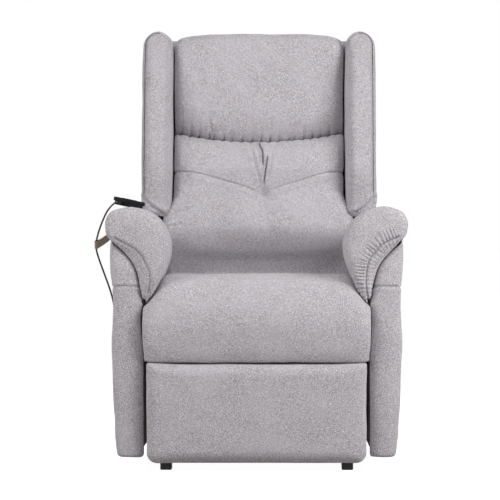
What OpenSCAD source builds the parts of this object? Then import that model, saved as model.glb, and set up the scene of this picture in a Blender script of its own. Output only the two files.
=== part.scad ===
// Lift recliner chair: a power chair that rises and tips forward to help its user stand,
// swings out a footrest and leans its backrest.
// Millimetres, +Z up, the front towards -Y, the origin on the floor under the middle.

/* [Overall] */
// Clear width between the two arm boards
seat_w = 548; // [500:2:660]
// How far the front of the seat stands ahead of the origin
front_d = 435; // [400:5:525]
// Height of the seat's crown above the floor
seat_z = 473; // [450:1:520]
// Height of the arm pads' crown above the floor
arm_z = 642; // [620:1:680]
// Length of the backrest from its hinge to its top
back_l = 799; // [665:1:960]
// Lean of the upright backrest, in degrees
lean = 11.8; // [8:0.1:14]

/* [Base frame] */
// Height of the feet
foot_h = 16; // [12:1:20]
// Length of one foot
foot_l = 46; // [36:1:60]
// Width of the tubes of the base frame
rail_w = 28; // [24:1:32]
// Height of the tubes of the base frame
rail_h = 25; // [20:1:30]
// Wall of the tubes of the base frame
rail_wall = 2; // [1.5:0.5:3]
// How far the rear end of the base stands behind the origin
base_rear = 230; // [215:1:240]

/* [Steel parts] */
// Thickness of the link plates and side plates
plate_t = 5; // [4:0.5:6]
// Running gap between two plates
plate_gap = 1; // [0.6:0.1:1.5]
// Radius of the lift linkage's pivot pins
lift_pin_r = 8; // [6:0.5:9]
// Radius of the footrest linkage's pivot pins
leg_pin_r = 5; // [4:0.5:6]
// Half width of a lift link
lift_link_r = 17; // [14:1:18]
// Half width of a footrest link
leg_link_r = 10; // [8:0.5:10.5]
// Outer radius of the torque tube
torque_r = 15; // [13:0.5:17]
// Outer radius of the chassis cross tubes
cross_r = 12.5; // [10:0.5:13]
// Radial clearance of a pivot
pivot_play = 0.08; // [0.04:0.01:0.1]
// Radial clearance of the pivots where a loop of links is left open
open_play = 0.45; // [0.3:0.05:1]

/* [Wooden parts] */
// Width of the wooden rails and stiles
wood_t = 26; // [20:1:28]
// Height of the seat's side rails
seat_rail_h = 65; // [55:1:70]
// Thickness of an arm board
arm_board_t = 17; // [12:1:18]
// Depth of the backrest's stiles
stile_d = 38; // [30:1:38]
// Thickness of the footrest's board
foot_board_t = 15; // [10:1:15]

/* [Upholstery] */
// Thickness of an arm's padded outer body at its top
arm_body_t = 84; // [76:1:96]
// How far the arm pad bulges out past the arm's body
pad_out = 10; // [6:1:16]
// Thickness of the footrest's pad
foot_pad_t = 54; // [48:1:54]
// Height of the line where the seat's front meets the footrest
split_z = 264; // [262:1:266]
// Height of the footrest's lower edge above the floor
foot_low = 20.5; // [18:0.5:40]
// Width of one wing across its front
wing_w = 81; // [70:1:90]
// Gap between two soft pieces
soft_gap = 0.5; // [0.3:0.1:1]
// Depth of the lumbar cushion's sewn channels
channel_d = 17; // [8:1:24]
// Depth of the tuft at the lumbar cushion's middle
tuft_d = 20; // [8:1:26]

/* [Actuators] */
// Radius of an actuator's outer tube
tube_r = 19; // [18:0.5:20]
// Wall of an actuator's outer tube
tube_wall = 3; // [2:0.5:3]
// Radius of an actuator's rod
rod_r = 10; // [8:0.5:11]
// Radius of an actuator's eye pins
eye_pin_r = 6; // [5:0.5:7]
// Radius of an actuator's motor
motor_r = 23; // [20:1:25]
// Length of an actuator's motor
motor_l = 105; // [90:1:115]

/* [Handset] */
// Width of the handset
handset_w = 46; // [40:1:52]
// Length of the handset
handset_l = 112; // [100:1:124]
// Thickness of one shell of the handset
shell_t = 9.5; // [8:0.5:11]
// Diameter of the handset's cord
cord_d = 4.5; // [4.2:0.1:5]
// Width of the webbing loop that holds the cord
strap_w = 20; // [16:1:24]

/* [Hidden] */
$fn = 48;

// Planes across the chair, measured from the middle outwards
half = seat_w / 2;
front_y = -front_d;
step = plate_t + plate_gap;
plate_x = half - plate_t;
leg_x1 = plate_x - step;
leg_x2 = leg_x1 - step;
leg_x3 = leg_x2 - step;
lift_gap = 2;
lift_x2 = leg_x2 - plate_t - lift_gap;
lift_x1 = lift_x2 - plate_t - lift_gap;
bracket_x = lift_x1 - plate_t - lift_gap;
rail_x = bracket_x - rail_w;

// Pivots of the lift linkage as [y, z]
torque_p = [-199, 115];
rear_p = [193, 138];
front_base_p = [-236, 93];
front_top_p = [40, 92];

// Pivots of the footrest linkage as [y, z]: two equal parallelograms in a row
leg_drop = [47, -141];
leg_lever = 48;
drive_p = [front_y + 149, 235];
idle_p = [front_y + 226, 235];
knee_p = drive_p + leg_drop;
heel_p = idle_p + leg_drop;
toe_p = knee_p - [0, leg_lever];
ankle_p = [front_y + 75, 223];
tilt_p = ankle_p - [0, leg_lever];
drive_r = 11;
link_neck = 0.84;
pin_end_gap = 0.3;

// Backrest hinge, and the actuators' eyes
hinge_p = [165, 336];
hinge_pin_r = 8;
lift_foot_p = [120, 56];
lift_eye_p = [-190, 191];
recline_foot_p = [-250, 171];
recline_eye_p = [148, 256];
recline_x = -90;
lever_in = 11;
lift_reach = norm(lift_eye_p - lift_foot_p);
recline_reach = norm(recline_eye_p - recline_foot_p);
front_tube_p = [front_y + 187, 251];
rear_tube_p = [205, 180];

// Heights and depths of the seat's frame
deck_z = 333;
seat_rail_z = deck_z - seat_rail_h;
seat_rear = 150;
seat_rail_front = front_y + 35;
spring_wire = 3.8;
spring_count = 5;
spring_pitch = 90;
spring_reach = 24;
spring_clip_w = 2 * spring_reach + 16;
base_front = front_y + 77;
arm_rear = 255;
foot_board_y = front_y + foot_pad_t;
foot_board_back = foot_board_y + foot_board_t;

// Backrest, in its own leaning frame: u backwards and v upwards from the hinge
stile_u = 66;
cover_u = stile_u + stile_d;
cover_t = 5;
back_v0 = -45;
cushion_u = stile_u - 4.5;
stile_x = half - 39;
seam_v = 485;
seam_rise = 21;
tuft_v = 341;
channel_rise = 53;
lumbar_v0 = 108;
lumbar_hw = half - 22;
head_hw = half - 52;
wing_x = half - 50;

// Sections of an arm pad at its front and rear, from the board's plane and the crown's height
pad_front = [[91, -66], [94, -37], [86, -18], [64, -4], [28, 0], [-2, -8], [-22, -22], [-44, -41],
    [-60, -68], [-63, -90], [-60, -121], [-51, -167], [-30, -203], [-4, -222]];
pad_rear = [[89, -72], [92, -54], [84, -44], [62, -38], [40, -37], [22, -39], [6, -46], [-6, -60],
    [-10, -86], [-11, -110], [-10, -130], [-9, -167], [-7, -203], [-4, -222]];

// Outline of the arm's body: its outer side as [inwards from the outer face, below the crown],
// then its hem as [inwards from the outer face, height above the floor]
arm_side = [[0, 96], [8, 165], [15, 246], [11, 346]];
arm_hem = [[16, 150], [25, 70], [33, 42], [45, 34]];
arm_low = 34;
arm_front = front_y + 35;
arm_wrap = front_y + 48;
panel_side = 3;

// Handset and its cord
handset_at = [-half - 47, front_y + 239, arm_z + 13];
handset_roll = 11.6;
handset_yaw = -18;
relief_l = 22;
slot_w = 24;
slot_l = 21;
rocker_pin_r = 1.5;
rocker_y = [-18, 16];
cord_points = [[-344.5, -266.9, 655], [-348, -278, 655.5], [-353, -289, 653], [-361, -297, 645],
    [-371, -300, 631], [-380, -298, 612], [-388, -293, 592], [-394, -285, 574], [-398, -276, 556],
    [-398, -268, 538], [-393, -261, 518], [-386, -254, 497], [-378, -248, 474], [-369, -240, 448],
    [-361, -231, 420], [-356, -221, 392], [-352, -208, 362], [-350.5, -192, 332], [-350.5, -171, 302],
    [-350, -144, 275], [-349.5, -111, 251], [-349, -73, 232], [-349, -32, 220], [-350, 10, 214],
    [-352, 50, 213], [-357, 84, 215], [-365, 110, 218], [-370, 130, 220], [-368, 144, 220],
    [-360, 150, 220], [-354, 150, 220], [-348.4, 150, 220]];
strap_at = [-398, -274, 551];
strap_root = [-366.5, -264, 572];
grommet_at = [-345, 150, 220];

// ---------------------------------------------------------------- helpers

function spow(v, p) = sign(v) * pow(abs(v), p);
function clamp01(t) = min(1, max(0, t));
function smooth(t) = let(c = clamp01(t)) c * c * (3 - 2 * c);
function mix(a, b, t) = a + (b - a) * t;
function bell(d, w) = exp(-pow(d / w, 2));
function sum(v) = v * [for (x = v) 1];
function unit(v) = v / norm(v);
function middle(ring) = [for (k = [0:2])
    (max([for (p = ring) p[k]]) + min([for (p = ring) p[k]])) / 2];

// How far an edge of radius r is drawn in at a distance d from the end
function draw_in(d, r) = d >= r ? 0 : r - sqrt(max(0, r * r - pow(r - d, 2)));

// Faces of a stack of n rings of m points each, with a fan at both ends
function loft_faces(n, m) = concat(
    [for (i = [0:n - 2], j = [0:m - 1]) [i * m + j, (i + 1) * m + (j + 1) % m, i * m + (j + 1) % m]],
    [for (i = [0:n - 2], j = [0:m - 1]) [i * m + j, (i + 1) * m + j, (i + 1) * m + (j + 1) % m]],
    [for (j = [0:m - 1]) [n * m, j, (j + 1) % m]],
    [for (j = [0:m - 1]) [n * m + 1, (n - 1) * m + (j + 1) % m, (n - 1) * m + j]]);

// A closed solid through a list of rings; first and last are the middles of its end faces
module loft(rings, first = undef, last = undef) {
    n = len(rings);
    m = len(rings[0]);
    start = is_undef(first) ? middle(rings[0]) : first;
    end = is_undef(last) ? middle(rings[n - 1]) : last;
    polyhedron(points = concat([for (r = rings) each r], [start, end]), faces = loft_faces(n, m));
}

// The same piece on the other side
module both_sides() {
    children();
    mirror([1, 0, 0]) children();
}

// A round bar across the chair at p = [y, z], from x0 to x1
module shaft(p, r, x0, x1) {
    translate([x0, p[0], p[1]]) rotate([0, 90, 0]) cylinder(r = r, h = x1 - x0);
}

// A flat link from p to q with round eyes of radius r and a slightly narrower bar, from x0 outwards
module link(p, q, r, x0, t = plate_t) {
    d = q - p;
    neck = link_neck * r;
    translate([x0, p[0], p[1]]) rotate([atan2(d[1], d[0]), 0, 0]) {
        for (y = [0, norm(d)])
            translate([0, y, 0]) rotate([0, 90, 0]) cylinder(r = r, h = t);
        translate([0, 0, -neck]) cube([t, norm(d), 2 * neck]);
    }
}

// Outline of a bar of half width w that bends at b on its way from a to c, all as [y, z]
function across(p, q) = let(d = (q - p) / norm(q - p)) [-d[1], d[0]];
function bent_bar(a, b, c, w) = let(m = across(a, b), n = across(b, c), k = (m + n) / (1 + m * n))
    [a + w * m, b + w * k, c + w * n, c - w * n, b - w * k, a - w * m];

// Places an actuator's parts: local +Y runs from foot to eye
module along(foot, eye, x) {
    d = eye - foot;
    translate([x, foot[0], foot[1]]) rotate([atan2(d[1], d[0]), 0, 0]) children();
}

// Turns local +Z to the direction v
module look_along(v) {
    rotate([0, acos(v[2] / norm(v)), atan2(v[1], v[0])]) children();
}

// The backrest's leaning frame
module back_frame() {
    translate([0, hinge_p[0], hinge_p[1]]) rotate([-lean, 0, 0]) children();
}

// A plate with rounded corners, centred on x and y
module rounded_plate(w, l, h, r) {
    translate([-w / 2 + r, -l / 2, 0]) cube([w - 2 * r, l, h]);
    translate([-w / 2, -l / 2 + r, 0]) cube([w, l - 2 * r, h]);
    for (x = [-1, 1], y = [-1, 1])
        translate([x * (w / 2 - r), y * (l / 2 - r), 0]) cylinder(r = r, h = h);
}

// Half outline of a zigzag spring wire, on one side of its own middle line
function zigzag(n, pitch, reach, off) = [for (i = [0:n * 8])
    let(a = 360 * i / 8, slope = atan2(reach * 2 * PI / pitch * cos(a), 1))
    [pitch * i / 8 - off * sin(slope), reach * sin(a) + off * cos(slope)]];

// A flat zigzag spring of n waves, running along +X
module zigzag_spring(n, pitch, reach) {
    there = zigzag(n, pitch, reach, spring_wire / 2);
    back = zigzag(n, pitch, reach, -spring_wire / 2);
    linear_extrude(spring_wire)
        polygon(concat(there, [for (i = [len(back) - 1:-1:0]) back[i]]));
}

// ---------------------------------------------------------------- base

module tube_box(w, l, h) {
    difference() {
        cube([w, l, h]);
        translate([rail_wall, -1, rail_wall]) cube([w - 2 * rail_wall, l + 2, h - 2 * rail_wall]);
    }
}

module base_side_rails() {
    color([0.1, 0.1, 0.11]) both_sides()
        translate([rail_x, base_front, foot_h]) tube_box(rail_w, base_rear - base_front, rail_h);
}

module base_cross_tubes() {
    color([0.1, 0.1, 0.11])
        for (y = [base_front + 16, 138])
            translate([-rail_x, y + rail_w, foot_h]) rotate([0, 0, -90])
                tube_box(rail_w, 2 * rail_x, rail_h);
}

// A foot under each end of a rail, in one piece with the cap and plug that close the rail
module base_feet() {
    cap = 3;
    plug = 10;
    play = 0.3;
    color([0.05, 0.05, 0.05]) both_sides()
        for (end = [[base_front, 1], [base_rear, -1]])
            translate([rail_x + rail_w / 2, end[0], 0]) scale([1, end[1], 1]) {
                translate([0, foot_l / 2 - cap, 0]) rounded_plate(rail_w - 2, foot_l - 2, 2, 3);
                translate([0, foot_l / 2 - cap, 2]) rounded_plate(rail_w, foot_l, foot_h - 2, 1.5);
                translate([-rail_w / 2, -cap, foot_h - 1]) cube([rail_w, cap - 0.05, rail_h + 1]);
                translate([-rail_w / 2 + rail_wall + play, -cap, foot_h + rail_wall + play])
                    cube([rail_w - 2 * (rail_wall + play), plug, rail_h - 2 * (rail_wall + play)]);
            }
}

module base_pivot_brackets() {
    color([0.1, 0.1, 0.11]) both_sides() {
        difference() {
            union() {
                translate([bracket_x, front_base_p[0] - 22, foot_h])
                    cube([plate_t, torque_p[0] - front_base_p[0] + 46, 70]);
                link(front_base_p, torque_p, 22, bracket_x);
            }
            shaft(torque_p, torque_r + pivot_play, bracket_x - 1, bracket_x + plate_t + 1);
        }
        shaft(front_base_p, lift_pin_r, bracket_x, lift_x2 + plate_t);
        shaft(front_base_p, lift_pin_r + 4, bracket_x + plate_t, lift_x2 - plate_gap);
    }
}

module lift_motor_clevis() {
    color([0.1, 0.1, 0.11]) {
        for (x = [-lever_in - plate_t, lever_in])
            difference() {
                union() {
                    link(lift_foot_p, [152, foot_h + rail_h + 8], 12, x);
                    translate([x, 138, foot_h + rail_h]) cube([plate_t, rail_w, 14]);
                }
                translate([x - 1, 100, foot_h]) cube([plate_t + 2, 80, rail_h]);
            }
        shaft(lift_foot_p, eye_pin_r, -lever_in - plate_t - 3, lever_in + plate_t + 3);
    }
}

// ---------------------------------------------------------------- lift linkage

// The tube that turns in the base brackets, with the lever that the lift actuator pushes
module lift_torque_tube() {
    color([0.12, 0.12, 0.13]) {
        shaft(torque_p, torque_r, -lift_x1, lift_x1);
        for (x = [-lever_in - plate_t, lever_in])
            link(torque_p, lift_eye_p, 13, x);
        shaft(lift_eye_p, eye_pin_r, -lever_in - plate_t - 3, lever_in + plate_t + 3);
    }
}

module rear_lift_links() {
    color([0.12, 0.12, 0.13]) both_sides() {
        link(torque_p, rear_p, lift_link_r, lift_x1);
        shaft(rear_p, lift_pin_r, lift_x1, half - pin_end_gap);
        shaft(rear_p, lift_pin_r + 4, lift_x1 + plate_t, plate_x - plate_gap);
    }
}

module front_lift_links() {
    color([0.12, 0.12, 0.13]) both_sides()
        difference() {
            link(front_base_p, front_top_p, lift_link_r - 2, lift_x2);
            shaft(front_base_p, lift_pin_r + pivot_play, lift_x2 - 1, lift_x2 + plate_t + 1);
            shaft(front_top_p, lift_pin_r + open_play, lift_x2 - 1, lift_x2 + plate_t + 1);
        }
}

// ---------------------------------------------------------------- chassis

// Corner points of a side plate between the round eyes at its pivots
function plate_corners() = let(low = drive_p[1] - 20, front = drive_p[0] - 22, eye = 18) [
    [front, deck_z], [front, low], [front_top_p[0] - 52, low], front_top_p - [eye, 0],
    front_top_p + [eye, 0], [front_top_p[0] + 46, low - 3], [122, low - 3], rear_p - [eye, 4],
    rear_p + [eye, -4], rear_tube_p + [eye, 0], hinge_p + [eye, 0], hinge_p + [-eye, 8],
    [hinge_p[0] - eye, deck_z]];

module side_plates() {
    color([0.12, 0.12, 0.13]) both_sides()
        difference() {
            union() {
                translate([plate_x, 0, 0]) rotate([90, 0, 90]) linear_extrude(plate_t)
                    polygon(plate_corners());
                shaft(front_top_p, 21, plate_x, half);
                shaft(rear_p, 23, plate_x, half);
                shaft(rear_tube_p, 22, plate_x, half);
                shaft(hinge_p, 22, plate_x, half);
            }
            shaft(drive_p, drive_r + pivot_play, plate_x - 1, half + 1);
            shaft(rear_p, lift_pin_r + pivot_play, plate_x - 1, half + 1);
        }
}

// The pins on the side plates' inner faces: front lift link, rear footrest link, backrest
module chassis_pins() {
    color([0.6, 0.61, 0.63]) both_sides() {
        shaft(idle_p, leg_pin_r, leg_x1, plate_x);
        shaft(front_top_p, lift_pin_r, lift_x2, plate_x);
        shaft(front_top_p, lift_pin_r + 4, lift_x2 + plate_t + plate_gap, plate_x);
        shaft(hinge_p, hinge_pin_r, leg_x1, plate_x);
    }
}

module chassis_cross_tubes() {
    color([0.12, 0.12, 0.13])
        for (p = [front_tube_p, rear_tube_p])
            difference() {
                shaft(p, cross_r, -plate_x, plate_x);
                shaft(p, cross_r - 2, -plate_x + 2, plate_x - 2);
            }
}

module recline_motor_hanger() {
    color([0.12, 0.12, 0.13]) {
        for (x = [-lever_in - plate_t, lever_in])
            difference() {
                link(front_tube_p, recline_foot_p, 17, recline_x + x);
                shaft(front_tube_p, cross_r + 0.2, recline_x + x - 1, recline_x + x + plate_t + 1);
            }
        shaft(recline_foot_p, eye_pin_r, recline_x - lever_in - plate_t - 3,
            recline_x + lever_in + plate_t + 3);
    }
}

module seat_side_rails() {
    color([0.78, 0.62, 0.4]) both_sides()
        translate([plate_x - wood_t, seat_rail_front, seat_rail_z])
            cube([wood_t, seat_rear - seat_rail_front, seat_rail_h]);
}

module seat_cross_rails() {
    color([0.78, 0.62, 0.4]) {
        translate([-plate_x + wood_t, seat_rail_front, seat_rail_z])
            cube([2 * (plate_x - wood_t), 22, seat_rail_h]);
        translate([-plate_x + wood_t, seat_rear - 22, deck_z - 34])
            cube([2 * (plate_x - wood_t), 22, 34]);
    }
}

module seat_springs() {
    length = seat_rear - seat_rail_front - 10;
    waves = 12;
    color([0.55, 0.56, 0.58])
        for (i = [0:spring_count - 1])
            translate([(i - (spring_count - 1) / 2) * spring_pitch, seat_rail_front + 5, deck_z + 0.2])
                rotate([0, 0, 90]) zigzag_spring(waves, length / waves, spring_reach);
}

module spring_clips() {
    color([0.2, 0.2, 0.2])
        for (i = [0:spring_count - 1], y = [seat_rail_front + 4, seat_rear - 18])
            translate([(i - (spring_count - 1) / 2) * spring_pitch - spring_clip_w / 2, y, deck_z]) {
                cube([4, 14, 6]);
                translate([spring_clip_w - 4, 0, 0]) cube([4, 14, 6]);
                translate([0, 0, 4.3]) cube([spring_clip_w, 14, 1.7]);
            }
}

// How far the seat's top falls away beside the arm pads
function seat_shoulder(x) = 62 * pow(sin(90 * clamp01((abs(x) - half + 58) / 58)), 1.2);

// One section of the seat at depth y: half width hw, bottom z0, top z1, drawn in by d
function seat_ring(y, hw, z0, z1, d) = let(n = 32, p = 0.32, full = pow(cos(180 / n), p),
        zm = (z0 + z1) / 2, hz = (z1 - z0) / 2 - d)
    [for (i = [0:n - 1])
        let(a = 360 * (i + 0.5) / n, s = spow(sin(a), p),
            taper = 4 * (1 - s) * clamp01((260 - zm + hz) / 100),
            x = (hw - d - taper) * spow(cos(a), p) / full,
            crown = 4 * (1 - pow(x / half, 2)))
        [x, y, zm + hz * s + (s > 0 ? crown - seat_shoulder(x) * min(1, s * 1.2) : 0)]];

module seat_cushion() {
    top = seat_z - 4;
    low = split_z + 1.5;
    deck = deck_z + 8;
    wide = half + 2;
    narrow = half - soft_gap;
    rail = seat_rail_front - front_y - soft_gap;
    rear = seat_rear - front_y;
    // Each station: distance behind the front, half width, bottom, top, amount drawn in
    stations = [[3, wide, low + 30, top - 80, 16], [5.5, wide, low + 4, top - 45, 8],
        [11, wide, low, top - 26, 3], [19, wide, low, top - 14, 0], [rail - 1, wide, low, top - 5, 0],
        [rail, wide, low, top - 5, 0], [rail + 0.4, wide, deck, top - 4, 0],
        [rail + 12, wide, deck, top - 3, 0], [rail + 14, narrow, deck, top - 3, 0],
        [80, narrow, deck, top, 0], [170, narrow, deck, top + 1, 0], [270, narrow, deck, top, 0],
        [370, narrow, deck, top - 3, 0], [rear - 110, narrow, deck, top - 8, 0],
        [rear - 40, narrow, deck, top - 12, 0], [rear - 10, narrow, deck, top - 18, 3],
        [rear, narrow, deck + 8, top - 30, 10]];
    color([0.73, 0.71, 0.73])
        loft([for (s = stations) seat_ring(front_y + s[0], s[1], s[2], s[3], s[4])]);
}

// ---------------------------------------------------------------- arms

// Offset of the arm's cover from the board: the crease under the pad, from outside to tip
function crease(drop) = [[half + arm_body_t - 6, arm_z - 88 - drop], [half + 53, arm_z - 111 - drop],
    [half + 29, arm_z - 130 - drop], [half + 13, arm_z - 162 - drop], [half + 5, arm_z - 190 - drop]];

module arm_board() {
    low = 60;
    front = arm_wrap + 1;
    color([0.78, 0.62, 0.4])
        translate([half, front, low])
            cube([arm_board_t, arm_rear - 3 - front, arm_z - 212 - low]);
}

// One section of the arm's padded body; inner is its inner face, d how far it is drawn in
function arm_ring(y, inner, d) = let(
        crest = crease(soft_gap),
        outer = half + arm_body_t - d,
        shape = concat([[inner + d, arm_low + 10 + d], [inner + d, 150], [inner + d, 300],
            [inner + d, arm_z - 232]],
            [for (k = [4:-1:0]) [max(crest[k][0], inner + d), crest[k][1] - d]],
            [for (i = [0:3]) [outer - arm_side[i][0], arm_z - arm_side[i][1] - (i == 0 ? d : 0)]],
            [for (i = [0:3]) [outer - arm_hem[i][0], arm_hem[i][1] + (i > 1 ? d : 0)]],
            [[inner + 10 + d, arm_low + d]]))
    [for (p = shape) [p[0], y, p[1]]];

module arm_panel() {
    edge = half + panel_side;
    inner = half + arm_board_t + soft_gap;
    color([0.73, 0.71, 0.73])
        loft([arm_ring(arm_front, edge, 14), arm_ring(arm_front + 2.5, edge, 6),
            arm_ring(arm_front + 7, edge, 2), arm_ring(arm_wrap - 1, edge, 0),
            arm_ring(arm_wrap, inner, 0), arm_ring(mix(arm_wrap, arm_rear, 0.33), inner, 0),
            arm_ring(mix(arm_wrap, arm_rear, 0.66), inner, 0), arm_ring(arm_rear - 12, inner, 0),
            arm_ring(arm_rear - 4, inner, 2), arm_ring(arm_rear, inner, 8)]);
}

// One section of the pad at y; t goes from the front section to the rear one, s shrinks it
function pad_ring(y, t, s) = let(
        over = [for (i = [0:len(pad_front) - 1]) mix(pad_front[i], pad_rear[i], t)],
        out = pad_out - 10,
        upper = [for (p = over) [half + p[0] + (p[0] > 60 ? out : 0), arm_z + p[1]]],
        under = crease(0),
        shape = concat(upper, [for (k = [4, 3, 2, 1, 0]) under[k]]),
        c = [half + 18, arm_z - 86])
    [for (p = shape) [mix(c[0], p[0], s), y, mix(c[1], p[1], s)]];

module arm_pad() {
    f = front_y + 27;
    r = arm_rear - 5;
    color([0.79, 0.78, 0.8])
        loft([for (s = [[f, 0, 0.8], [f + 3, 0, 0.93], [f + 9, 0, 0.98], [f + 20, 0, 1],
            [f + 80, 0, 1], [f + 170, 0, 1], [f + 260, 0.05, 1], [f + 340, 0.35, 1],
            [f + 410, 0.8, 1], [f + 470, 1, 1], [r - 30, 1, 1], [r - 8, 1, 0.97], [r, 1, 0.9]])
            pad_ring(s[0], s[1], s[2])]);
}

module arm_board_left() mirror([1, 0, 0]) arm_board();
module arm_board_right() arm_board();
module arm_panel_left() mirror([1, 0, 0]) arm_panel();
module arm_panel_right() arm_panel();
module arm_pad_left() mirror([1, 0, 0]) arm_pad();
module arm_pad_right() arm_pad();

module arm_bolts() {
    color([0.7, 0.7, 0.72]) both_sides()
        for (y = [-120, 0, 110])
            shaft([y, seat_rail_z - 14], 7, plate_x - plate_gap * 5, plate_x - 0.05);
}

module rear_valance() {
    color([0.73, 0.71, 0.73])
        translate([-half + 0.3, arm_rear - 8, 40]) cube([seat_w - 0.6, cover_t, 198]);
}

// ---------------------------------------------------------------- controls

// The box that runs the actuators, with the shroud of its mains inlet on one side
module control_box() {
    color([0.12, 0.12, 0.12])
        translate([130, rear_tube_p[0] - cross_r - 38, 157]) {
            rounded_plate(120, 75, 46, 6);
            translate([60, 0, 23]) difference() {
                translate([0, -15, -10]) cube([18, 30, 20]);
                translate([4, -11, -6]) cube([15, 22, 12]);
            }
        }
}

module handset_place() {
    translate(handset_at) rotate([0, handset_roll, 0]) rotate([0, 0, handset_yaw]) children();
}

module handset_upper_shell() {
    color([0.06, 0.06, 0.07]) handset_place() difference() {
        rounded_plate(handset_w, handset_l, shell_t, 7);
        for (y = rocker_y) {
            translate([-slot_w / 2, y - slot_l / 2, 2]) cube([slot_w, slot_l, shell_t]);
            translate([-slot_w / 2 - 3, y, shell_t - 4]) rotate([0, 90, 0])
                cylinder(r = rocker_pin_r + pivot_play, h = slot_w + 6);
        }
    }
}

module handset_lower_shell() {
    color([0.06, 0.06, 0.07]) handset_place()
        translate([0, 0, -shell_t - 0.1]) rounded_plate(handset_w - 6, handset_l - 7, shell_t, 6);
}

module rocker(y) {
    color([0.2, 0.2, 0.22]) handset_place() translate([0, y, shell_t - 4]) {
        rotate([0, 90, 0]) translate([0, 0, -slot_w / 2 - 2.6])
            cylinder(r = rocker_pin_r, h = slot_w + 5.2);
        translate([0, 0, -1.2]) rounded_plate(slot_w - 2.4, slot_l - 2.4, 6, 3);
    }
}

module rocker_back() rocker(rocker_y[0]);
module rocker_legs() rocker(rocker_y[1]);

module handset_strain_relief() {
    color([0.05, 0.05, 0.05]) handset_place()
        translate([0, -handset_l / 2 + 3.5, -shell_t / 2]) rotate([90, 0, 0])
            cylinder(r1 = 4.2, r2 = cord_d / 2 + 0.8, h = relief_l);
}

// Points of a smooth curve through the cord's points, k to a span
function curve_point(a, b, c, d, t) = 0.5 * (2 * b + (c - a) * t + (2 * a - 5 * b + 4 * c - d) * t * t
    + (3 * b - a - 3 * c + d) * t * t * t);
function curve(p, k) = let(n = len(p)) concat(
    [for (i = [0:n - 2], j = [0:k - 1])
        curve_point(p[max(0, i - 1)], p[i], p[i + 1], p[min(n - 1, i + 2)], j / k)], [p[n - 1]]);
function tangent(p, i) = unit(p[min(len(p) - 1, i + 1)] - p[max(0, i - 1)]);
function turned(side, way) = unit(side - (side * way) * way);

// A direction across the curve at each point, carried along so that the tube doesn't twist
function sides(p, i, side) = i == len(p) ? [] :
    let(next = turned(side, tangent(p, i))) concat([next], sides(p, i + 1, next));

module cord_tube(p, r, m) {
    across = sides(p, 0, [0, 0, 1]);
    loft([for (i = [0:len(p) - 1]) let(way = tangent(p, i), up = cross(way, across[i]))
        [for (j = [0:m - 1]) p[i] - r * cos(360 * j / m) * across[i] + r * sin(360 * j / m) * up]]);
}

module handset_cord() {
    path = curve(cord_points, 2);
    length = sum([for (i = [1:len(path) - 1]) norm(path[i] - path[i - 1])]);
    echo(cord_length = length);
    color([0.05, 0.05, 0.05]) cord_tube(path, cord_d / 2, 8);
}

// Angle about v, after look_along(v), at which local +X points along r
function angle_about(v, r) = let(b = acos(v[2]), c = atan2(v[1], v[0]))
    atan2(r * [-sin(c), cos(c), 0], r * [cos(b) * cos(c), cos(b) * sin(c), -sin(b)]);

// A webbing tab from the arm with a loop round the cord
module cord_strap() {
    loop_r = cord_d / 2 + 1.6;
    thick = 1.6;
    way = unit(cord_points[9] - cord_points[8]);
    reach = strap_root - strap_at;
    flat = turned(way, unit(reach));
    color([0.45, 0.38, 0.31]) translate(strap_at) difference() {
        union() {
            look_along(way) cylinder(r = loop_r + thick, h = strap_w, center = true);
            look_along(flat) rotate([0, 0, angle_about(flat, reach)])
                translate([loop_r, -thick / 2, -strap_w / 2])
                    cube([norm(reach) - loop_r, thick, strap_w]);
        }
        look_along(way) cylinder(r = loop_r, h = strap_w * 1.6, center = true);
    }
}

module cord_grommet() {
    color([0.05, 0.05, 0.05]) translate(grommet_at) rotate([0, -90, 0])
        cylinder(r1 = 11, r2 = 7, h = 3.4);
}

// ---------------------------------------------------------------- footrest

module footrest_drive_shaft() {
    color([0.3, 0.31, 0.33]) shaft(drive_p, drive_r, -leg_x1, leg_x1);
}

module footrest_drive_links() {
    color([0.3, 0.31, 0.33]) both_sides() {
        translate([leg_x1, 0, 0]) rotate([90, 0, 90]) linear_extrude(plate_t)
            polygon(bent_bar(drive_p, knee_p, toe_p, link_neck * leg_link_r));
        shaft(drive_p, drive_r + 4, leg_x1, leg_x1 + plate_t);
        shaft(knee_p, leg_link_r + 2, leg_x1, leg_x1 + plate_t);
        shaft(toe_p, leg_link_r, leg_x1, leg_x1 + plate_t);
        shaft(drive_p, drive_r, leg_x1 + plate_t, half - pin_end_gap);
        shaft(knee_p, leg_pin_r, leg_x2, leg_x1);
        shaft(toe_p, leg_pin_r, leg_x2, leg_x1);
    }
}

module footrest_rear_links() {
    color([0.3, 0.31, 0.33]) both_sides() {
        difference() {
            link(idle_p, heel_p, leg_link_r, leg_x1);
            shaft(idle_p, leg_pin_r + pivot_play, leg_x1 - 1, leg_x1 + plate_t + 1);
        }
        shaft(heel_p, leg_pin_r, leg_x2, leg_x1);
    }
}

module footrest_long_links() {
    color([0.3, 0.31, 0.33]) both_sides() {
        difference() {
            union() {
                shaft(knee_p, leg_link_r + 2, leg_x2, leg_x2 + plate_t);
                link(heel_p, knee_p, leg_link_r, leg_x2);
                link(knee_p, ankle_p, leg_link_r, leg_x2);
            }
            shaft(heel_p, leg_pin_r + open_play, leg_x2 - 1, leg_x2 + plate_t + 1);
            shaft(knee_p, leg_pin_r + pivot_play, leg_x2 - 1, leg_x2 + plate_t + 1);
        }
        shaft(ankle_p, leg_pin_r, leg_x3, leg_x2);
    }
}

module footrest_tilt_links() {
    color([0.3, 0.31, 0.33]) both_sides() {
        difference() {
            link(toe_p, tilt_p, leg_link_r, leg_x2);
            shaft(toe_p, leg_pin_r + pivot_play, leg_x2 - 1, leg_x2 + plate_t + 1);
        }
        shaft(tilt_p, leg_pin_r, leg_x3, leg_x2);
    }
}

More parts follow.
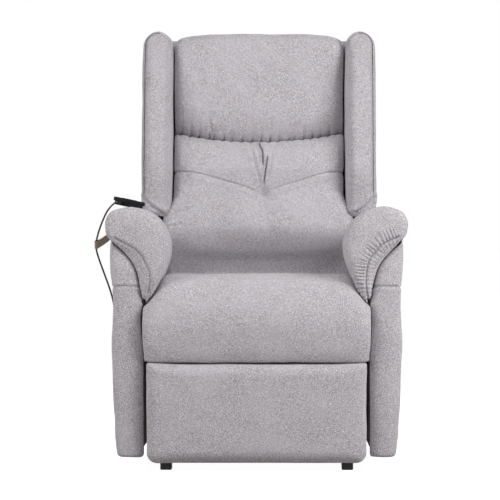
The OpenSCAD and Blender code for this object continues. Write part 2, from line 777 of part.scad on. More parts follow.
module footrest_brackets() {
    color([0.3, 0.31, 0.33]) both_sides()
        difference() {
            union() {
                link(tilt_p - [0, 12], ankle_p + [0, 12], 12, leg_x3);
                translate([leg_x3 - 40, foot_board_back, tilt_p[1] - 24]) cube([40, 4, 96]);
                translate([leg_x3 - 1, foot_board_back, tilt_p[1] - 24]) cube([1 + plate_t, 16, 96]);
            }
            shaft(ankle_p, leg_pin_r + pivot_play, leg_x3 - 50, leg_x3 + plate_t + 1);
            shaft(tilt_p, leg_pin_r + open_play, leg_x3 - 50, leg_x3 + plate_t + 1);
        }
}

module footrest_board() {
    color([0.78, 0.62, 0.4])
        translate([-half + 30, foot_board_y, foot_low + 18])
            cube([seat_w - 60, foot_board_t, split_z - foot_low - 34]);
}

module footrest_screws() {
    color([0.7, 0.7, 0.72]) both_sides()
        for (z = [tilt_p[1] - 12, tilt_p[1] + 60])
            translate([leg_x3 - 24, foot_board_back + 4.05, z]) rotate([-90, 0, 0])
                cylinder(r = 6, h = 2.5);
}

// One section of the footrest's pad, drawn in by d
function foot_ring(y, d) = let(n = 32, z0 = foot_low + d, z1 = split_z - 1.5 - d)
    [for (i = [0:n - 1]) let(a = 360 * (i + 0.5) / n)
        [(half - 8 - d) * spow(cos(a), 0.3), y, (z0 + z1) / 2 + (z1 - z0) / 2 * spow(sin(a), 0.3)]];

module footrest_pad() {
    color([0.66, 0.63, 0.67])
        loft([foot_ring(front_y, 60), foot_ring(front_y + 2, 22), foot_ring(front_y + 6, 9),
            foot_ring(front_y + 13, 3), foot_ring(front_y + 24, 0), foot_ring(front_y + 36, 0),
            foot_ring(front_y + 47, 4), foot_ring(foot_board_y - 0.5, 12)]);
}

// ---------------------------------------------------------------- backrest

module back_brackets() {
    color([0.3, 0.31, 0.33]) both_sides() {
        difference() {
            union() {
                shaft(hinge_p, 14.5, leg_x1, leg_x1 + plate_t);
                back_frame() translate([leg_x1, 0, -12]) cube([plate_t, cover_u - 4, 24]);
                back_frame() translate([leg_x1, stile_u, -22]) cube([plate_t, stile_d - 6, 200]);
            }
            shaft(hinge_p, hinge_pin_r + pivot_play, leg_x1 - 1, leg_x1 + plate_t + 1);
        }
    }
}

module back_stiles() {
    color([0.78, 0.62, 0.4]) both_sides() back_frame()
        translate([stile_x, stile_u, back_v0]) cube([leg_x1 - stile_x, stile_d, back_l - 30 - back_v0]);
}

module back_rails() {
    color([0.78, 0.62, 0.4]) back_frame()
        for (v = [back_v0, 250, back_l - 72])
            translate([-stile_x, stile_u, v]) cube([2 * stile_x, stile_d, 42]);
}

module back_springs() {
    waves = 10;
    color([0.55, 0.56, 0.58]) back_frame()
        for (v = [60, 150, 380, 470, 560, 650])
            translate([-stile_x - 6, stile_u - 0.2, v]) rotate([90, 0, 0])
                zigzag_spring(waves, (2 * stile_x + 12) / waves, 20);
}

module wing_posts() {
    color([0.78, 0.62, 0.4]) both_sides() back_frame()
        translate([leg_x1 + plate_t + 1, stile_u, 320])
            cube([half + 25 - leg_x1 - plate_t - 1, stile_d, back_l - 30 - 320]);
}

module back_cover() {
    low = half - 8;
    high = half + 28;
    color([0.7, 0.68, 0.7]) back_frame() translate([0, cover_u + cover_t, 0]) rotate([90, 0, 0])
        linear_extrude(cover_t)
            polygon([[-low, back_v0], [low, back_v0], [low, 300], [high, 322], [high, back_l - 24],
                [high - 20, back_l], [20 - high, back_l], [-high, back_l - 24], [-high, 322], [-low, 300]]);
}

// Half width of the lumbar cushion at height v: it spreads below the wings
function lumbar_half(v) = mix(lumbar_hw, head_hw, smooth((v - 235) / 60));

// The seam between lumbar cushion and head pillow, and the channel that ends at the tuft
function seam(x) = seam_v + seam_rise * pow(x / head_hw, 2);
function channel(x) = tuft_v + channel_rise * abs(x) / head_hw;

// How deep the stitching pulls the lumbar cushion's face in
function stitched(x, v) = channel_d * bell(v - channel(x), 20)
    + (v > tuft_v ? 0.6 * channel_d * bell(x, 18) * smooth((seam_v - v) / 40) : 0)
    + tuft_d * bell(norm([x, v - tuft_v]), 34);

// One section of a back cushion: 23 points across the face, then the flat back; its sides rise
function cushion_ring(hw, v, d, face, rise, sewn) = let(n = 23) concat(
    [for (i = [0:n - 1])
        let(s = 2 * i / (n - 1) - 1, x = (hw - d) * spow(sin(90 * s), 0.95),
            vv = v + rise * pow(x / head_hw, 2), side = draw_in((1 - abs(s)) * hw, 55))
        [x, -face + d + side + (sewn ? stitched(x, vv) : 0), vv]],
    [for (s = [0.98, 0.5, 0, -0.5, -0.98])
        let(x = (hw - d) * s)
        [x, cushion_u, v + rise * pow(x / head_hw, 2)]]);

// Depth of a back cushion's face at a share t of its height, drawn in by fall
function cushion_face(t, fall) = 58 + 14 * sin(180 * t) - fall * 0.5;

module lumbar_cushion() {
    top = seam_v - 3 * soft_gap;
    n = 24;
    color([0.72, 0.7, 0.71]) back_frame()
        loft([for (k = [0:n]) let(t = k / n, v = mix(lumbar_v0, top, t),
            fall = draw_in(v - lumbar_v0, 40) + draw_in(top - v, 30))
            cushion_ring(lumbar_half(v) - soft_gap, v, fall * 0.4,
                cushion_face(t, fall) + 6 * (1 - t), seam_rise * t * t, true)], last = [0, 10, top]);
}

module head_cushion() {
    top = back_l - 20;
    n = 13;
    color([0.71, 0.69, 0.7]) back_frame()
        loft([for (k = [0:n]) let(t = k / n, v = mix(seam_v, top, t),
            fall = draw_in(v - seam_v, 30) + draw_in(top - v, 36))
            cushion_ring(head_hw - soft_gap, v, fall * 0.4,
                cushion_face(t, fall) + 6 * sin(180 * t), seam_rise * (1 - t), false)],
            first = [0, 10, seam_v]);
}

// Front edge of a wing at height v
function wing_front(v) = -92 - 46 * smooth((v - 290) / 150) + 40 * smooth((v - 660) / 140);

// One section of a wing at height v, drawn in by d; low and high slope with the depth
function wing_ring(t, d) = let(n = 20, low = 299, high = back_l - 12,
        v = mix(low, high, t), f = wing_front(v) + d, r = stile_u - soft_gap - d)
    [for (i = [0:n - 1]) let(a = 360 * (i + 0.5) / n, c = spow(cos(a), 0.55), s = spow(sin(a), 0.5),
        u = (f + r) / 2 + (r - f) / 2 * s)
        [wing_x + wing_w / 2 + (wing_w / 2 - d) * c, u, v + u * mix(tan(lean), 0.12, t)]];

module wing() {
    color([0.7, 0.68, 0.7]) back_frame()
        loft([for (s = [[0, 22], [0.008, 10], [0.025, 3], [0.05, 0], [0.16, 0], [0.3, 0], [0.44, 0],
            [0.58, 0], [0.72, 0], [0.84, 0], [0.93, 0], [0.965, 4], [0.988, 12], [1, 26]])
            wing_ring(s[0], s[1])]);
}
module wing_left() mirror([1, 0, 0]) wing();
module wing_right() wing();

module recline_lever() {
    rail_p = hinge_p + [(stile_u + 12) * cos(lean) + (back_v0 + 20) * sin(lean),
        (back_v0 + 20) * cos(lean) - (stile_u + 12) * sin(lean)];
    color([0.3, 0.31, 0.33]) {
        for (x = [-lever_in - plate_t, lever_in])
            difference() {
                link(recline_eye_p, rail_p, 13, recline_x + x);
                back_frame() translate([recline_x + x - 1, stile_u, back_v0 - 40])
                    cube([plate_t + 2, 60, 120]);
            }
        back_frame() translate([recline_x - 22, stile_u - plate_t, back_v0 + 2])
            cube([44, plate_t - 0.05, 36]);
        shaft(recline_eye_p, eye_pin_r, recline_x - lever_in - plate_t - 3,
            recline_x + lever_in + plate_t + 3);
    }
}

// ---------------------------------------------------------------- actuators

// Gearbox with its eye, and the motor beside it
module actuator_motor(way) {
    eye = 2 * lever_in - 1;
    difference() {
        union() {
            translate([-eye / 2, 0, 0]) rotate([0, 90, 0]) cylinder(r = 13, h = eye);
            translate([-eye / 2, 0, -10]) cube([eye, 30, 20]);
            translate([-27, 28, -26]) cube([54, 48, 52]);
            translate([way * 27, 50, 0]) rotate([0, way * 90, 0]) cylinder(r = motor_r, h = motor_l);
        }
        translate([-30, 0, 0]) rotate([0, 90, 0]) cylinder(r = eye_pin_r + pivot_play, h = 60);
    }
}

// Outer tube from s0 to s1 along the actuator
module actuator_tube(s0, s1) {
    translate([0, s0, 0]) rotate([-90, 0, 0]) difference() {
        cylinder(r = tube_r, h = s1 - s0);
        translate([0, 0, 4]) cylinder(r = tube_r - tube_wall, h = s1 - s0);
    }
}

// Rod from s0 to its eye at s1
module actuator_rod(s0, s1) {
    eye = 2 * lever_in - 1;
    difference() {
        union() {
            translate([0, s0, 0]) rotate([-90, 0, 0]) cylinder(r = rod_r, h = s1 - s0 - 8);
            translate([-eye / 2, s1, 0]) rotate([0, 90, 0]) cylinder(r = 12, h = eye);
        }
        translate([-30, s1, 0]) rotate([0, 90, 0]) cylinder(r = eye_pin_r + pivot_play, h = 60);
    }
}

module lift_motor() {
    color([0.13, 0.13, 0.14]) along(lift_foot_p, lift_eye_p, 0) actuator_motor(1);
}

module lift_tube() {
    color([0.5, 0.51, 0.53]) along(lift_foot_p, lift_eye_p, 0) actuator_tube(76, 236);
}

module lift_rod() {
    color([0.75, 0.76, 0.78]) along(lift_foot_p, lift_eye_p, 0) actuator_rod(84, lift_reach);
}

module recline_motor() {
    color([0.13, 0.13, 0.14]) along(recline_foot_p, recline_eye_p, recline_x) actuator_motor(-1);
}

module recline_tube() {
    color([0.5, 0.51, 0.53]) along(recline_foot_p, recline_eye_p, recline_x) actuator_tube(76, 300);
}

module recline_rod() {
    color([0.75, 0.76, 0.78]) along(recline_foot_p, recline_eye_p, recline_x)
        actuator_rod(130, recline_reach);
}

base_side_rails();
base_cross_tubes();
base_feet();
base_pivot_brackets();
lift_motor_clevis();
lift_torque_tube();
rear_lift_links();
front_lift_links();
side_plates();
chassis_pins();
chassis_cross_tubes();
recline_motor_hanger();
seat_side_rails();
seat_cross_rails();
seat_springs();
spring_clips();
seat_cushion();
arm_board_left();
arm_board_right();
arm_panel_left();
arm_panel_right();
arm_pad_left();
arm_pad_right();
arm_bolts();
control_box();
rear_valance();
handset_upper_shell();
handset_lower_shell();
handset_strain_relief();
handset_cord();
cord_strap();
cord_grommet();
rocker_back();
rocker_legs();
footrest_drive_shaft();
footrest_drive_links();
footrest_rear_links();
footrest_long_links();
footrest_tilt_links();
footrest_brackets();
footrest_board();
footrest_pad();
footrest_screws();
back_brackets();
back_stiles();
back_rails();
back_springs();
wing_posts();
lumbar_cushion();
head_cushion();
wing_left();
wing_right();
back_cover();
recline_lever();
lift_motor();
lift_tube();
lift_rod();
recline_motor();
recline_tube();
recline_rod();
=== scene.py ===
import math

import bmesh
import bpy
import numpy as np
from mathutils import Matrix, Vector
from mathutils.bvhtree import BVHTree
from mathutils.kdtree import KDTree


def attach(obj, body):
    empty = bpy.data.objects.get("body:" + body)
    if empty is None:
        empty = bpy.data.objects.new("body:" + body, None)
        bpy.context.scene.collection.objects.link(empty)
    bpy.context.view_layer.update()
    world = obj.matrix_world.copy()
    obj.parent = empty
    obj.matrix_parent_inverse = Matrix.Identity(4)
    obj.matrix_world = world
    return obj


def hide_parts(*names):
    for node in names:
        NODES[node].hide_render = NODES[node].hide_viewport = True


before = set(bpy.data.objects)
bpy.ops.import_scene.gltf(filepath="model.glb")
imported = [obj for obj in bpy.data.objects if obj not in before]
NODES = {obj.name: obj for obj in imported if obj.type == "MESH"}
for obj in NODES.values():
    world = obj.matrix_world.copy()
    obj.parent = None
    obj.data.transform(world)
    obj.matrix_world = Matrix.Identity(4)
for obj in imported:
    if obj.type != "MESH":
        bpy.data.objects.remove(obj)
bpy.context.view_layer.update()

# Sizes of the chair in mm, as in the CAD source: half the width between the arms, the front, the arms'
# height, the recline hinge, and the backrest's lean
HALF, FRONT, ARM_Z = 274.0, -435.0, 642.0
HINGE_Y, HINGE_Z, LEAN = 165.0, 336.0, math.radians(11.8)
# The picture: mm to a pixel in the plane of the chair's front, its middle, and the height there
PX, MID_X, MID_Y, MID_Z = 2.43, 256.4, 250.0, 538.0
# The eye's distance from the chair's front in mm, and its sideways slope
EYE_AWAY, EYE_SLOPE = 7100, 0.0098


# --- small maths

def smooth(t):
    t = np.clip(t, 0, 1)
    return t * t * (3 - 2 * t)


def mix(a, b, t):
    return a + (b - a) * t


def bell(d, w):
    return np.exp(-(d / w) ** 2)


def spow(v, p):
    return np.sign(v) * np.abs(v) ** p


def draw_in(d, r):
    """How far an edge of radius r is drawn in at a distance d from the end."""
    d = np.clip(d, 0, r)
    return r - np.sqrt(np.maximum(0, r * r - (r - d) ** 2))


def wobble(p, size, seed):
    """A smooth unevenness of about -1 to 1, with bumps of that size in mm; the same every run."""
    rng, waves = np.random.default_rng(seed), 7
    out = np.zeros(len(p))
    for _ in range(waves):
        way = rng.normal(size=3)
        way *= 2 * math.pi / (size * rng.uniform(1.4, 3.2)) / np.linalg.norm(way)
        out += np.sin(p @ way + rng.uniform(0, 6.3))
    return out / math.sqrt(waves / 2) * 0.6


def between(a, b, c, d, t):
    """The Catmull-Rom curve from b to c."""
    return 0.5 * (2 * b + (c - a) * t + (2 * a - 5 * b + 4 * c - d) * t ** 2 + (3 * b - a - 3 * c + d) * t ** 3)


def spaced(p, n, endpoint=True):
    """n points evenly spaced along a polyline."""
    at = np.concatenate([[0], np.cumsum(np.linalg.norm(np.diff(p, axis=0), axis=1))])
    s = np.linspace(0, at[-1], n, endpoint=endpoint)
    return np.stack([np.interp(s, at, p[:, k]) for k in range(p.shape[1])], 1)


def resample(points, n, spline=True):
    """n points evenly spaced along a smooth curve through the given ones, or straight from each to the next."""
    p = np.array(points, float)
    if spline and len(p) > 2:
        ext = np.vstack([2 * p[0] - p[1], p, 2 * p[-1] - p[-2]])
        steps = np.linspace(0, 1, 13)[1:]
        p = np.array([p[0]] + [between(*ext[i:i + 4], t) for i in range(len(p) - 1) for t in steps])
    return spaced(p, n)


def along(poly, a, b):
    """For points (a, b): the place along the polyline that is nearest, the signed distance, and its length."""
    poly = np.array(poly, float)
    best = np.full(len(a), 1e9)
    place, side = np.zeros(len(a)), np.zeros(len(a))
    run = 0.0
    for p, q in zip(poly[:-1], poly[1:]):
        d = q - p
        size = np.linalg.norm(d)
        t = np.clip(((a - p[0]) * d[0] + (b - p[1]) * d[1]) / size ** 2, 0, 1)
        da, db = a - p[0] - t * d[0], b - p[1] - t * d[1]
        dist = np.hypot(da, db)
        near = dist < best
        best[near] = dist[near]
        place[near] = run + t[near] * size
        side[near] = np.sign(d[0] * db - d[1] * da)[near]
        run += size
    return place, best * np.where(side == 0, 1, side), run


def furrow(poly, a, b, deep, wide):
    """A depression of that depth and width along the polyline."""
    return -deep * bell(along(poly, a, b)[1], wide)


def photo(px, py):
    """A place of the picture as [x, z] on the plane of the chair's front, in mm."""
    return np.array([(px - MID_X) * PX, MID_Z - (py - MID_Y) * PX])


def leaning(x, u, v):
    """Points of the backrest's leaning frame (across, rearwards, upwards) in the row frame."""
    c, s = math.cos(LEAN), math.sin(LEAN)
    x, u, v = np.broadcast_arrays(x, u, v)
    return np.stack([x, HINGE_Y + u * c + v * s, HINGE_Z - u * s + v * c], -1)


def lean_rings(rings, side=1):
    return leaning(side * rings[..., 0], rings[..., 1], rings[..., 2])


def to_lean(p):
    c, s = math.cos(LEAN), math.sin(LEAN)
    y, z = p[:, 1] - HINGE_Y, p[:, 2] - HINGE_Z
    return p[:, 0], y * c - z * s, y * s + z * c


def on_back(points, u=-75.0):
    """Places of the picture on the backrest's face, as (x, v)."""
    c, s = math.cos(LEAN), math.sin(LEAN)
    out = []
    for px, py in points:
        x = v = 0.0
        for _ in range(6):
            y = HINGE_Y + u * c + v * s
            k = PX * (EYE_AWAY + y - FRONT) / EYE_AWAY
            z = MID_Z - (py - MID_Y) * k
            x = (px - MID_X) * k - (y - FRONT) * EYE_SLOPE
            v = (z - HINGE_Z + u * s) / c
        out.append((x, v))
    return out


# --- meshes

def collection(obj):
    bpy.context.scene.collection.objects.link(obj)
    return obj


def mesh_object(name, verts, faces, merge):
    """A smooth-shaded mesh from points in mm, those within merge mm joined, and normals outwards."""
    mesh = bpy.data.meshes.new(name)
    mesh.from_pydata((np.asarray(verts) * 0.001).tolist(), [], faces)
    work = bmesh.new()
    work.from_mesh(mesh)
    bmesh.ops.delete(work, geom=[v for v in work.verts if not v.link_faces], context="VERTS")
    if merge:
        bmesh.ops.remove_doubles(work, verts=work.verts, dist=merge * 0.001)
    bmesh.ops.recalc_face_normals(work, faces=work.faces)
    for f in work.faces:
        f.smooth = True
    work.to_mesh(mesh)
    work.free()
    return collection(bpy.data.objects.new(name, mesh))


def skin(name, rings, wrap=True, ends=(True, True), merge=0.02):
    """A mesh through a stack of rings, an array (n, m, 3) in mm."""
    rings = np.asarray(rings, float)
    n, m = rings.shape[:2]
    faces = [(i * m + j, i * m + (j + 1) % m, (i + 1) * m + (j + 1) % m, (i + 1) * m + j)
             for i in range(n - 1) for j in range(m if wrap else m - 1)]
    if wrap and ends[0]:
        faces += [(n * m, (j + 1) % m, j) for j in range(m)]
    if wrap and ends[1]:
        faces += [(n * m + 1, (n - 1) * m + j, (n - 1) * m + (j + 1) % m) for j in range(m)]
    return mesh_object(name, np.vstack([rings.reshape(-1, 3), rings[0].mean(0), rings[-1].mean(0)]), faces, merge)


def upright(ring, y):
    """A ring of [x, z] stood up at y, one number or one for each point."""
    return np.stack([ring[:, 0], np.broadcast_to(y, len(ring)), ring[:, 1]], 1)


def read(vertices, key):
    out = np.empty(len(vertices) * 3, np.float32)
    vertices.foreach_get(key, out)
    return out.reshape(-1, 3).astype(float)


def points_of(mesh):
    return read(mesh.vertices, "co") * 1000


def set_points(obj, p):
    obj.data.vertices.foreach_set("co", (p * 0.001).astype(np.float32).ravel())
    obj.data.update()


def press(obj, depth):
    """Moves every point by depth(points) mm along its normal."""
    p, n = points_of(obj.data), read(obj.data.vertices, "normal")
    set_points(obj, p + n * depth(p)[:, None])
    return obj


FRAMES, VOXEL = 20, 0.006


def swell(obj):
    """Blows a voxel copy of the piece up as Cloth; gives its points before it and their moves, in mm."""
    copy = obj.copy()
    copy.data = obj.data.copy()
    collection(copy)
    remesh = copy.modifiers.new("voxels", "REMESH")
    remesh.mode, remesh.voxel_size, remesh.use_smooth_shade = "VOXEL", VOXEL, True
    dg = bpy.context.evaluated_depsgraph_get()
    mesh = bpy.data.meshes.new_from_object(copy.evaluated_get(dg))
    copy.modifiers.clear()
    copy.data = mesh
    before = points_of(copy.data)
    cloth = copy.modifiers.new("cloth", "CLOTH")
    cloth.settings.use_pressure = True
    cloth.settings.uniform_pressure_force = 4
    cloth.settings.quality = 4
    cloth.settings.mass = 0.3
    cloth.settings.effector_weights.gravity = 0
    cloth.collision_settings.use_collision = False
    cloth.point_cache.frame_start, cloth.point_cache.frame_end = 1, FRAMES
    for f in range(1, FRAMES + 1):
        bpy.context.scene.frame_set(f)
    dg = bpy.context.evaluated_depsgraph_get()
    after = points_of(copy.evaluated_get(dg).to_mesh())
    bpy.context.scene.frame_set(1)
    bpy.data.objects.remove(copy)
    return before, after - before


def plump(obj, room, cap, blend=0.8):
    """Lays the Cloth's swelling on the piece's own fine mesh: each point moves as its neighbours in
    the blown-up copy do, by at most cap mm, times blend and times room(points)."""
    before, move = swell(obj)
    far = np.linalg.norm(move, axis=1)
    move *= (np.minimum(far, cap) / np.maximum(far, 1e-6))[:, None]
    tree = KDTree(len(before))
    for k, at in enumerate(before):
        tree.insert(at, k)
    tree.balance()
    p = points_of(obj.data)
    share = blend * room(p)
    for k in np.nonzero(share > 0.01)[0]:
        near = tree.find_n(p[k], 6)
        w = np.array([1 / (d + 0.8) for _, _, d in near])
        p[k] += share[k] * (move[[i for _, i, _ in near]] * w[:, None]).sum(0) / w.sum()
    set_points(obj, p)
    return obj


# A stitch's sections: place along it, width and height, as shares of its length and thickness
STITCH = (-0.5, 0.0, -0.35), (-0.3, 1.0, 0.25), (0.0, 1.0, 0.5), (0.3, 1.0, 0.25), (0.5, 0.0, -0.35)


def stitches(name, obj, path, way, pitch, length, thick, sink=0.15):
    """A row of thread stitches laid on a piece, along a path seen from one side."""
    tree = BVHTree.FromObject(obj, bpy.context.evaluated_depsgraph_get())
    path = np.asarray(path, float)
    size = np.sum(np.linalg.norm(np.diff(path, axis=0), axis=1))
    way = Vector(way).normalized()
    hits = []
    for p in resample(path, max(3, int(size / (pitch / 4))), spline=False):
        at, normal, _, _ = tree.ray_cast(Vector(p * 0.001) - way, way, 3.0)
        if at is not None:
            hits.append((np.array(at) * 1000, np.array(normal)))
    verts, faces = [], []
    for k in range(0, len(hits) - 3, 4):
        (a, n), (b, _) = hits[k], hits[k + 3]
        d = b - a
        if np.linalg.norm(d) > 2 * pitch or np.linalg.norm(d) < 0.5:
            continue
        d /= np.linalg.norm(d)
        side = np.cross(n, d)
        side /= np.linalg.norm(side)
        k0 = len(verts)
        for t, r, h in STITCH:
            c = (a + b) / 2 + d * t * length + n * (h * thick - sink)
            verts += [c - side * r * thick / 2, c + n * r * thick / 2, c + side * r * thick / 2]
        for q in range(k0, k0 + 12, 3):
            faces += [(q, q + 1, q + 4, q + 3), (q + 1, q + 2, q + 5, q + 4), (q + 2, q, q + 3, q + 5)]
    return mesh_object(name, verts, faces, merge=0)


# --- materials

class Nodes:
    """Builds the node tree of a material or a world in few words."""

    def __init__(self, data, kind="Material"):
        self.data = data
        data.use_nodes = True
        self.tree = data.node_tree
        self.tree.nodes.clear()
        self.out = self.tree.nodes.new("ShaderNodeOutput" + kind)

    def add(self, kind, **values):
        """A node. Keys: i0, i1 and so on are inputs by place, others in lower case its settings, and
        those with a capital its inputs by name."""
        node = self.tree.nodes.new("ShaderNode" + kind)
        for key, value in values.items():
            if key[0].islower() and not key[1:].isdigit():
                setattr(node, key, value)
                continue
            socket = node.inputs[int(key[1:]) if key[1:].isdigit() else key.replace("_", " ")]
            if isinstance(value, bpy.types.NodeSocket):
                self.tree.links.new(value, socket)
            else:
                socket.default_value = value
        return node

    def close(self, shader):
        self.tree.links.new(shader.outputs[0], self.out.inputs["Surface"])
        return self.data

    def math(self, operation, a, b, c=0.0):
        return self.add("Math", operation=operation, i0=a, i1=b, i2=c).outputs[0]

    def scaled(self, sizes, turn=(0, 0, 0)):
        """The object's coordinates, so that one unit is that many mm along each axis."""
        scale = [1000 / s for s in np.broadcast_to(sizes, 3)]
        coord = self.add("TexCoord").outputs["Object"]
        return self.add("Mapping", Vector=coord, Rotation=turn, Scale=scale).outputs[0]

    def noise(self, sizes, detail=2.0, rough=0.5, turn=(0, 0, 0)):
        return self.add("TexNoise", Vector=self.scaled(sizes, turn), Scale=1.0, Detail=detail,
                        Roughness=rough).outputs["Fac"]

    def wave(self, sizes, scale, distortion, detail, finer, **kind):
        return self.add("TexWave", Vector=self.scaled(sizes), Scale=scale, Distortion=distortion,
                        Detail=detail, Detail_Scale=finer, **kind).outputs["Fac"]

    def ramp(self, fac, stops):
        node = self.add("ValToRGB", i0=fac)
        marks = node.color_ramp.elements
        while len(marks) < len(stops):
            marks.new(0.5)
        for mark, (at, colour) in zip(marks, stops):
            mark.position, mark.color = at, colour
        return node.outputs["Color"]

    def span(self, value, a, b, low=0.0, high=1.0):
        return self.add("MapRange", clamp=True, i0=value, i1=a, i2=b, i3=low, i4=high).outputs[0]

    def blend(self, a, b, fac):
        return self.add("Mix", data_type="RGBA", i0=fac, i6=a, i7=b).outputs[2]

    def bump(self, height, strength, mm, **below):
        return self.add("Bump", Strength=strength, Distance=mm * 0.001, Height=height, **below).outputs["Normal"]

    def surface(self, **values):
        return self.close(self.add("BsdfPrincipled", **values))

    def seen(self):
        """1 for what the camera, a mirror or glass sees, 0 for the light on the object."""
        path = self.add("LightPath").outputs
        gloss = self.math("MAXIMUM", path["Is Glossy Ray"], path["Is Transmission Ray"])
        return self.math("MAXIMUM", path["Is Camera Ray"], gloss)


def material(name):
    return Nodes(bpy.data.materials.new(name))


def rgb(levels, factor=1.0, more=0.0):
    """A colour written as 0 to 255 on screen, as the shader wants it."""
    levels = np.minimum(np.array(levels, float) * factor + more, 255)
    return tuple(((c / 255 + 0.055) / 1.055) ** 2.4 if c > 10 else c / 3294 for c in levels) + (1.0,)


MELANGE, MELANGE_CONTRAST = np.array([188, 185, 190.0]), 2.4


def tone(k, *tint):
    """A yarn's colour: the melange's times k, with a tint, both spread by its contrast."""
    tint = np.array(tint or (0, 0, 0)) * MELANGE_CONTRAST
    return rgb(np.clip(MELANGE * (1 + (k - 1) * MELANGE_CONTRAST) + tint, 0, 255))


def fabric(name):
    """A melange linen weave: two sets of slubby threads in greys, lavender and sand."""
    m = material(name)
    weft = m.noise((2.5, 2.5, 0.7), 2.0, 0.65)
    warp = m.noise((0.7, 0.7, 2.5), 2.0, 0.65)
    slub_weft = m.noise((3.3, 3.3, 0.95), 1.0, 0.6, (0.02, 0.01, 0.6))
    slub_warp = m.noise((0.95, 0.95, 3.4), 1.0, 0.6, (0.02, 0.01, 0.6))
    fleck = m.noise((1.4, 1.4, 1.3), 1.0, 0.6)
    tint = m.noise((2.7, 2.7, 2.3), 2.0, 0.65)
    cloud = m.noise(90, 3.0, 0.55)

    def yarns(slub, fine, *stops):
        return m.ramp(m.math("MULTIPLY_ADD", slub, 0.5, m.math("MULTIPLY", fine, 0.5)), stops)

    one = yarns(slub_weft, weft, (0.38, tone(0.74, 1, -1, 1)), (0.47, tone(0.955)),
                (0.53, tone(1.045, 0, 0, 1)), (0.62, tone(1.17, 1, 1, 2)))
    two = yarns(slub_warp, warp, (0.38, tone(0.73, 6, 0, -7)), (0.47, tone(0.95, 1, 0, -1)),
                (0.54, tone(1.045)), (0.62, tone(1.16, 0, 1, 4)))
    colour = m.blend(one, two, m.span(fleck, 0.44, 0.56))
    colour = m.blend(colour, tone(0.88, 9, 0, -11), m.span(tint, 0.54, 0.70, 0, 0.7))
    colour = m.blend(colour, tone(0.96, -4, -2, 9), m.span(tint, 0.45, 0.30, 0, 0.7))
    colour = m.blend(colour, tone(1.03, 1, 1, 1), m.span(cloud, 0.42, 0.66, 0, 0.3))
    # the yarns' relief: crossed ribs of about 1.1 mm with slubs
    rib_z, rib_x = (m.wave(14, 4.2, 1.6, 2.0, 2.5, wave_type="BANDS", bands_direction=way, wave_profile="SIN")
                    for way in "ZX")
    ribs = m.math("ADD", m.math("MULTIPLY", rib_z, rib_x), m.math("MULTIPLY", fleck, 1.2))
    height = m.math("ADD", m.math("MULTIPLY", ribs, 0.5), m.math("ADD", weft, warp))
    normal = m.bump(m.noise(24), 0.22, 1.6, Normal=m.bump(height, 0.55, 0.35))
    return m.surface(Base_Color=colour, Roughness=m.span(fleck, 0.3, 0.7, 0.84, 0.98), Normal=normal,
                     Sheen_Weight=0.18, Sheen_Roughness=0.6, Specular_IOR_Level=0.22)


def coat(name, colour, noises, tints, rough, relief, **surface):
    """A finish made of noises, each (size in mm, detail, roughness). The tints laid over the colour are
    (factor, added levels, noise, from, to, most), rough is a number or (noise, low, high), and relief is
    (noise, strength, mm)."""
    m = material(name)
    n = [m.noise(*kind) for kind in noises]
    shade = rgb(colour)
    for factor, more, k, a, b, most in tints:
        shade = m.blend(shade, rgb(colour, factor, more), m.span(n[k], a, b, 0, most))
    if isinstance(rough, tuple):
        rough = m.span(n[rough[0]], 0.3, 0.7, *rough[1:])
    return m.surface(Base_Color=shade, Roughness=rough, Normal=m.bump(n[relief[0]], *relief[1:]), **surface)


def thread(name, colour):
    return coat(name, colour, [(0.5,)], [(0.7, 0, 0, 0.35, 0.7, 1)], 0.75, (0, 0.5, 0.15),
                Sheen_Weight=0.1)


def bare_metal(name, colour, rough, grain):
    """Zinc-plated or ground steel with a fine direction and a few stains."""
    return coat(name, colour, [(grain, 3.0, 0.6), (35, 4.0, 0.6)],
                [(0.8, 0, 1, 0.5, 0.75, 0.7), (1.12, 0, 0, 0.5, 0.7, 0.5)],
                (0, rough - 0.07, rough + 0.12), (0, 0.15, 0.05), Metallic=1.0)


def plastic(name, colour, rough, grain, depth=0.12, shine=0.35):
    """Moulded plastic with a fine spark-eroded grain and faint wear."""
    return coat(name, colour, [(grain, 3.0, 0.6), (40, 4.0, 0.6)], [(1, 14, 1, 0.45, 0.7, 0.7)],
                (0, rough - 0.08, rough + 0.1), (0, 0.35, depth), Specular_IOR_Level=shine)


def timber(name, colour):
    """Planed softwood: growth rings stretched along the length, pores and broad lighter patches."""
    m = material(name)
    rings = m.wave((90, 640, 90), 2.2, 5.0, 3.0, 1.4, wave_type="RINGS", wave_profile="SAW")
    pores = m.noise((0.8, 26, 0.8), 3.0, 0.6)
    shade = m.ramp(rings, [(at, rgb(colour, k)) for at, k in ((0, 1), (0.55, 0.93), (0.85, 0.78), (1, 0.95))])
    shade = m.blend(shade, rgb(colour, 0.72), m.span(pores, 0.58, 0.75, 0, 0.6))
    shade = m.blend(shade, rgb(colour, 1.06), m.span(m.noise((70, 260, 260)), 0.5, 0.8, 0, 0.5))
    return m.surface(Base_Color=shade, Roughness=m.span(pores, 0.3, 0.7, 0.55, 0.75),
                     Normal=m.bump(pores, 0.3, 0.2))


def webbing(name, colour):
    """Woven tape: a twill of coarse yarns."""
    m = material(name)
    weave = m.wave(10, 3.4, 1.2, 2.0, 2.0, wave_type="BANDS", bands_direction="DIAGONAL", wave_profile="SIN")
    yarn = m.noise(1.6, 2.0, 0.6)
    shade = m.blend(rgb(colour, 0.72), rgb(colour, 1.16), weave)
    shade = m.blend(shade, rgb(colour, 0.8), m.span(yarn, 0.5, 0.75, 0, 0.6))
    return m.surface(Base_Color=shade, Roughness=0.88, Sheen_Weight=0.15,
                     Normal=m.bump(m.math("ADD", weave, yarn), 0.6, 0.3))


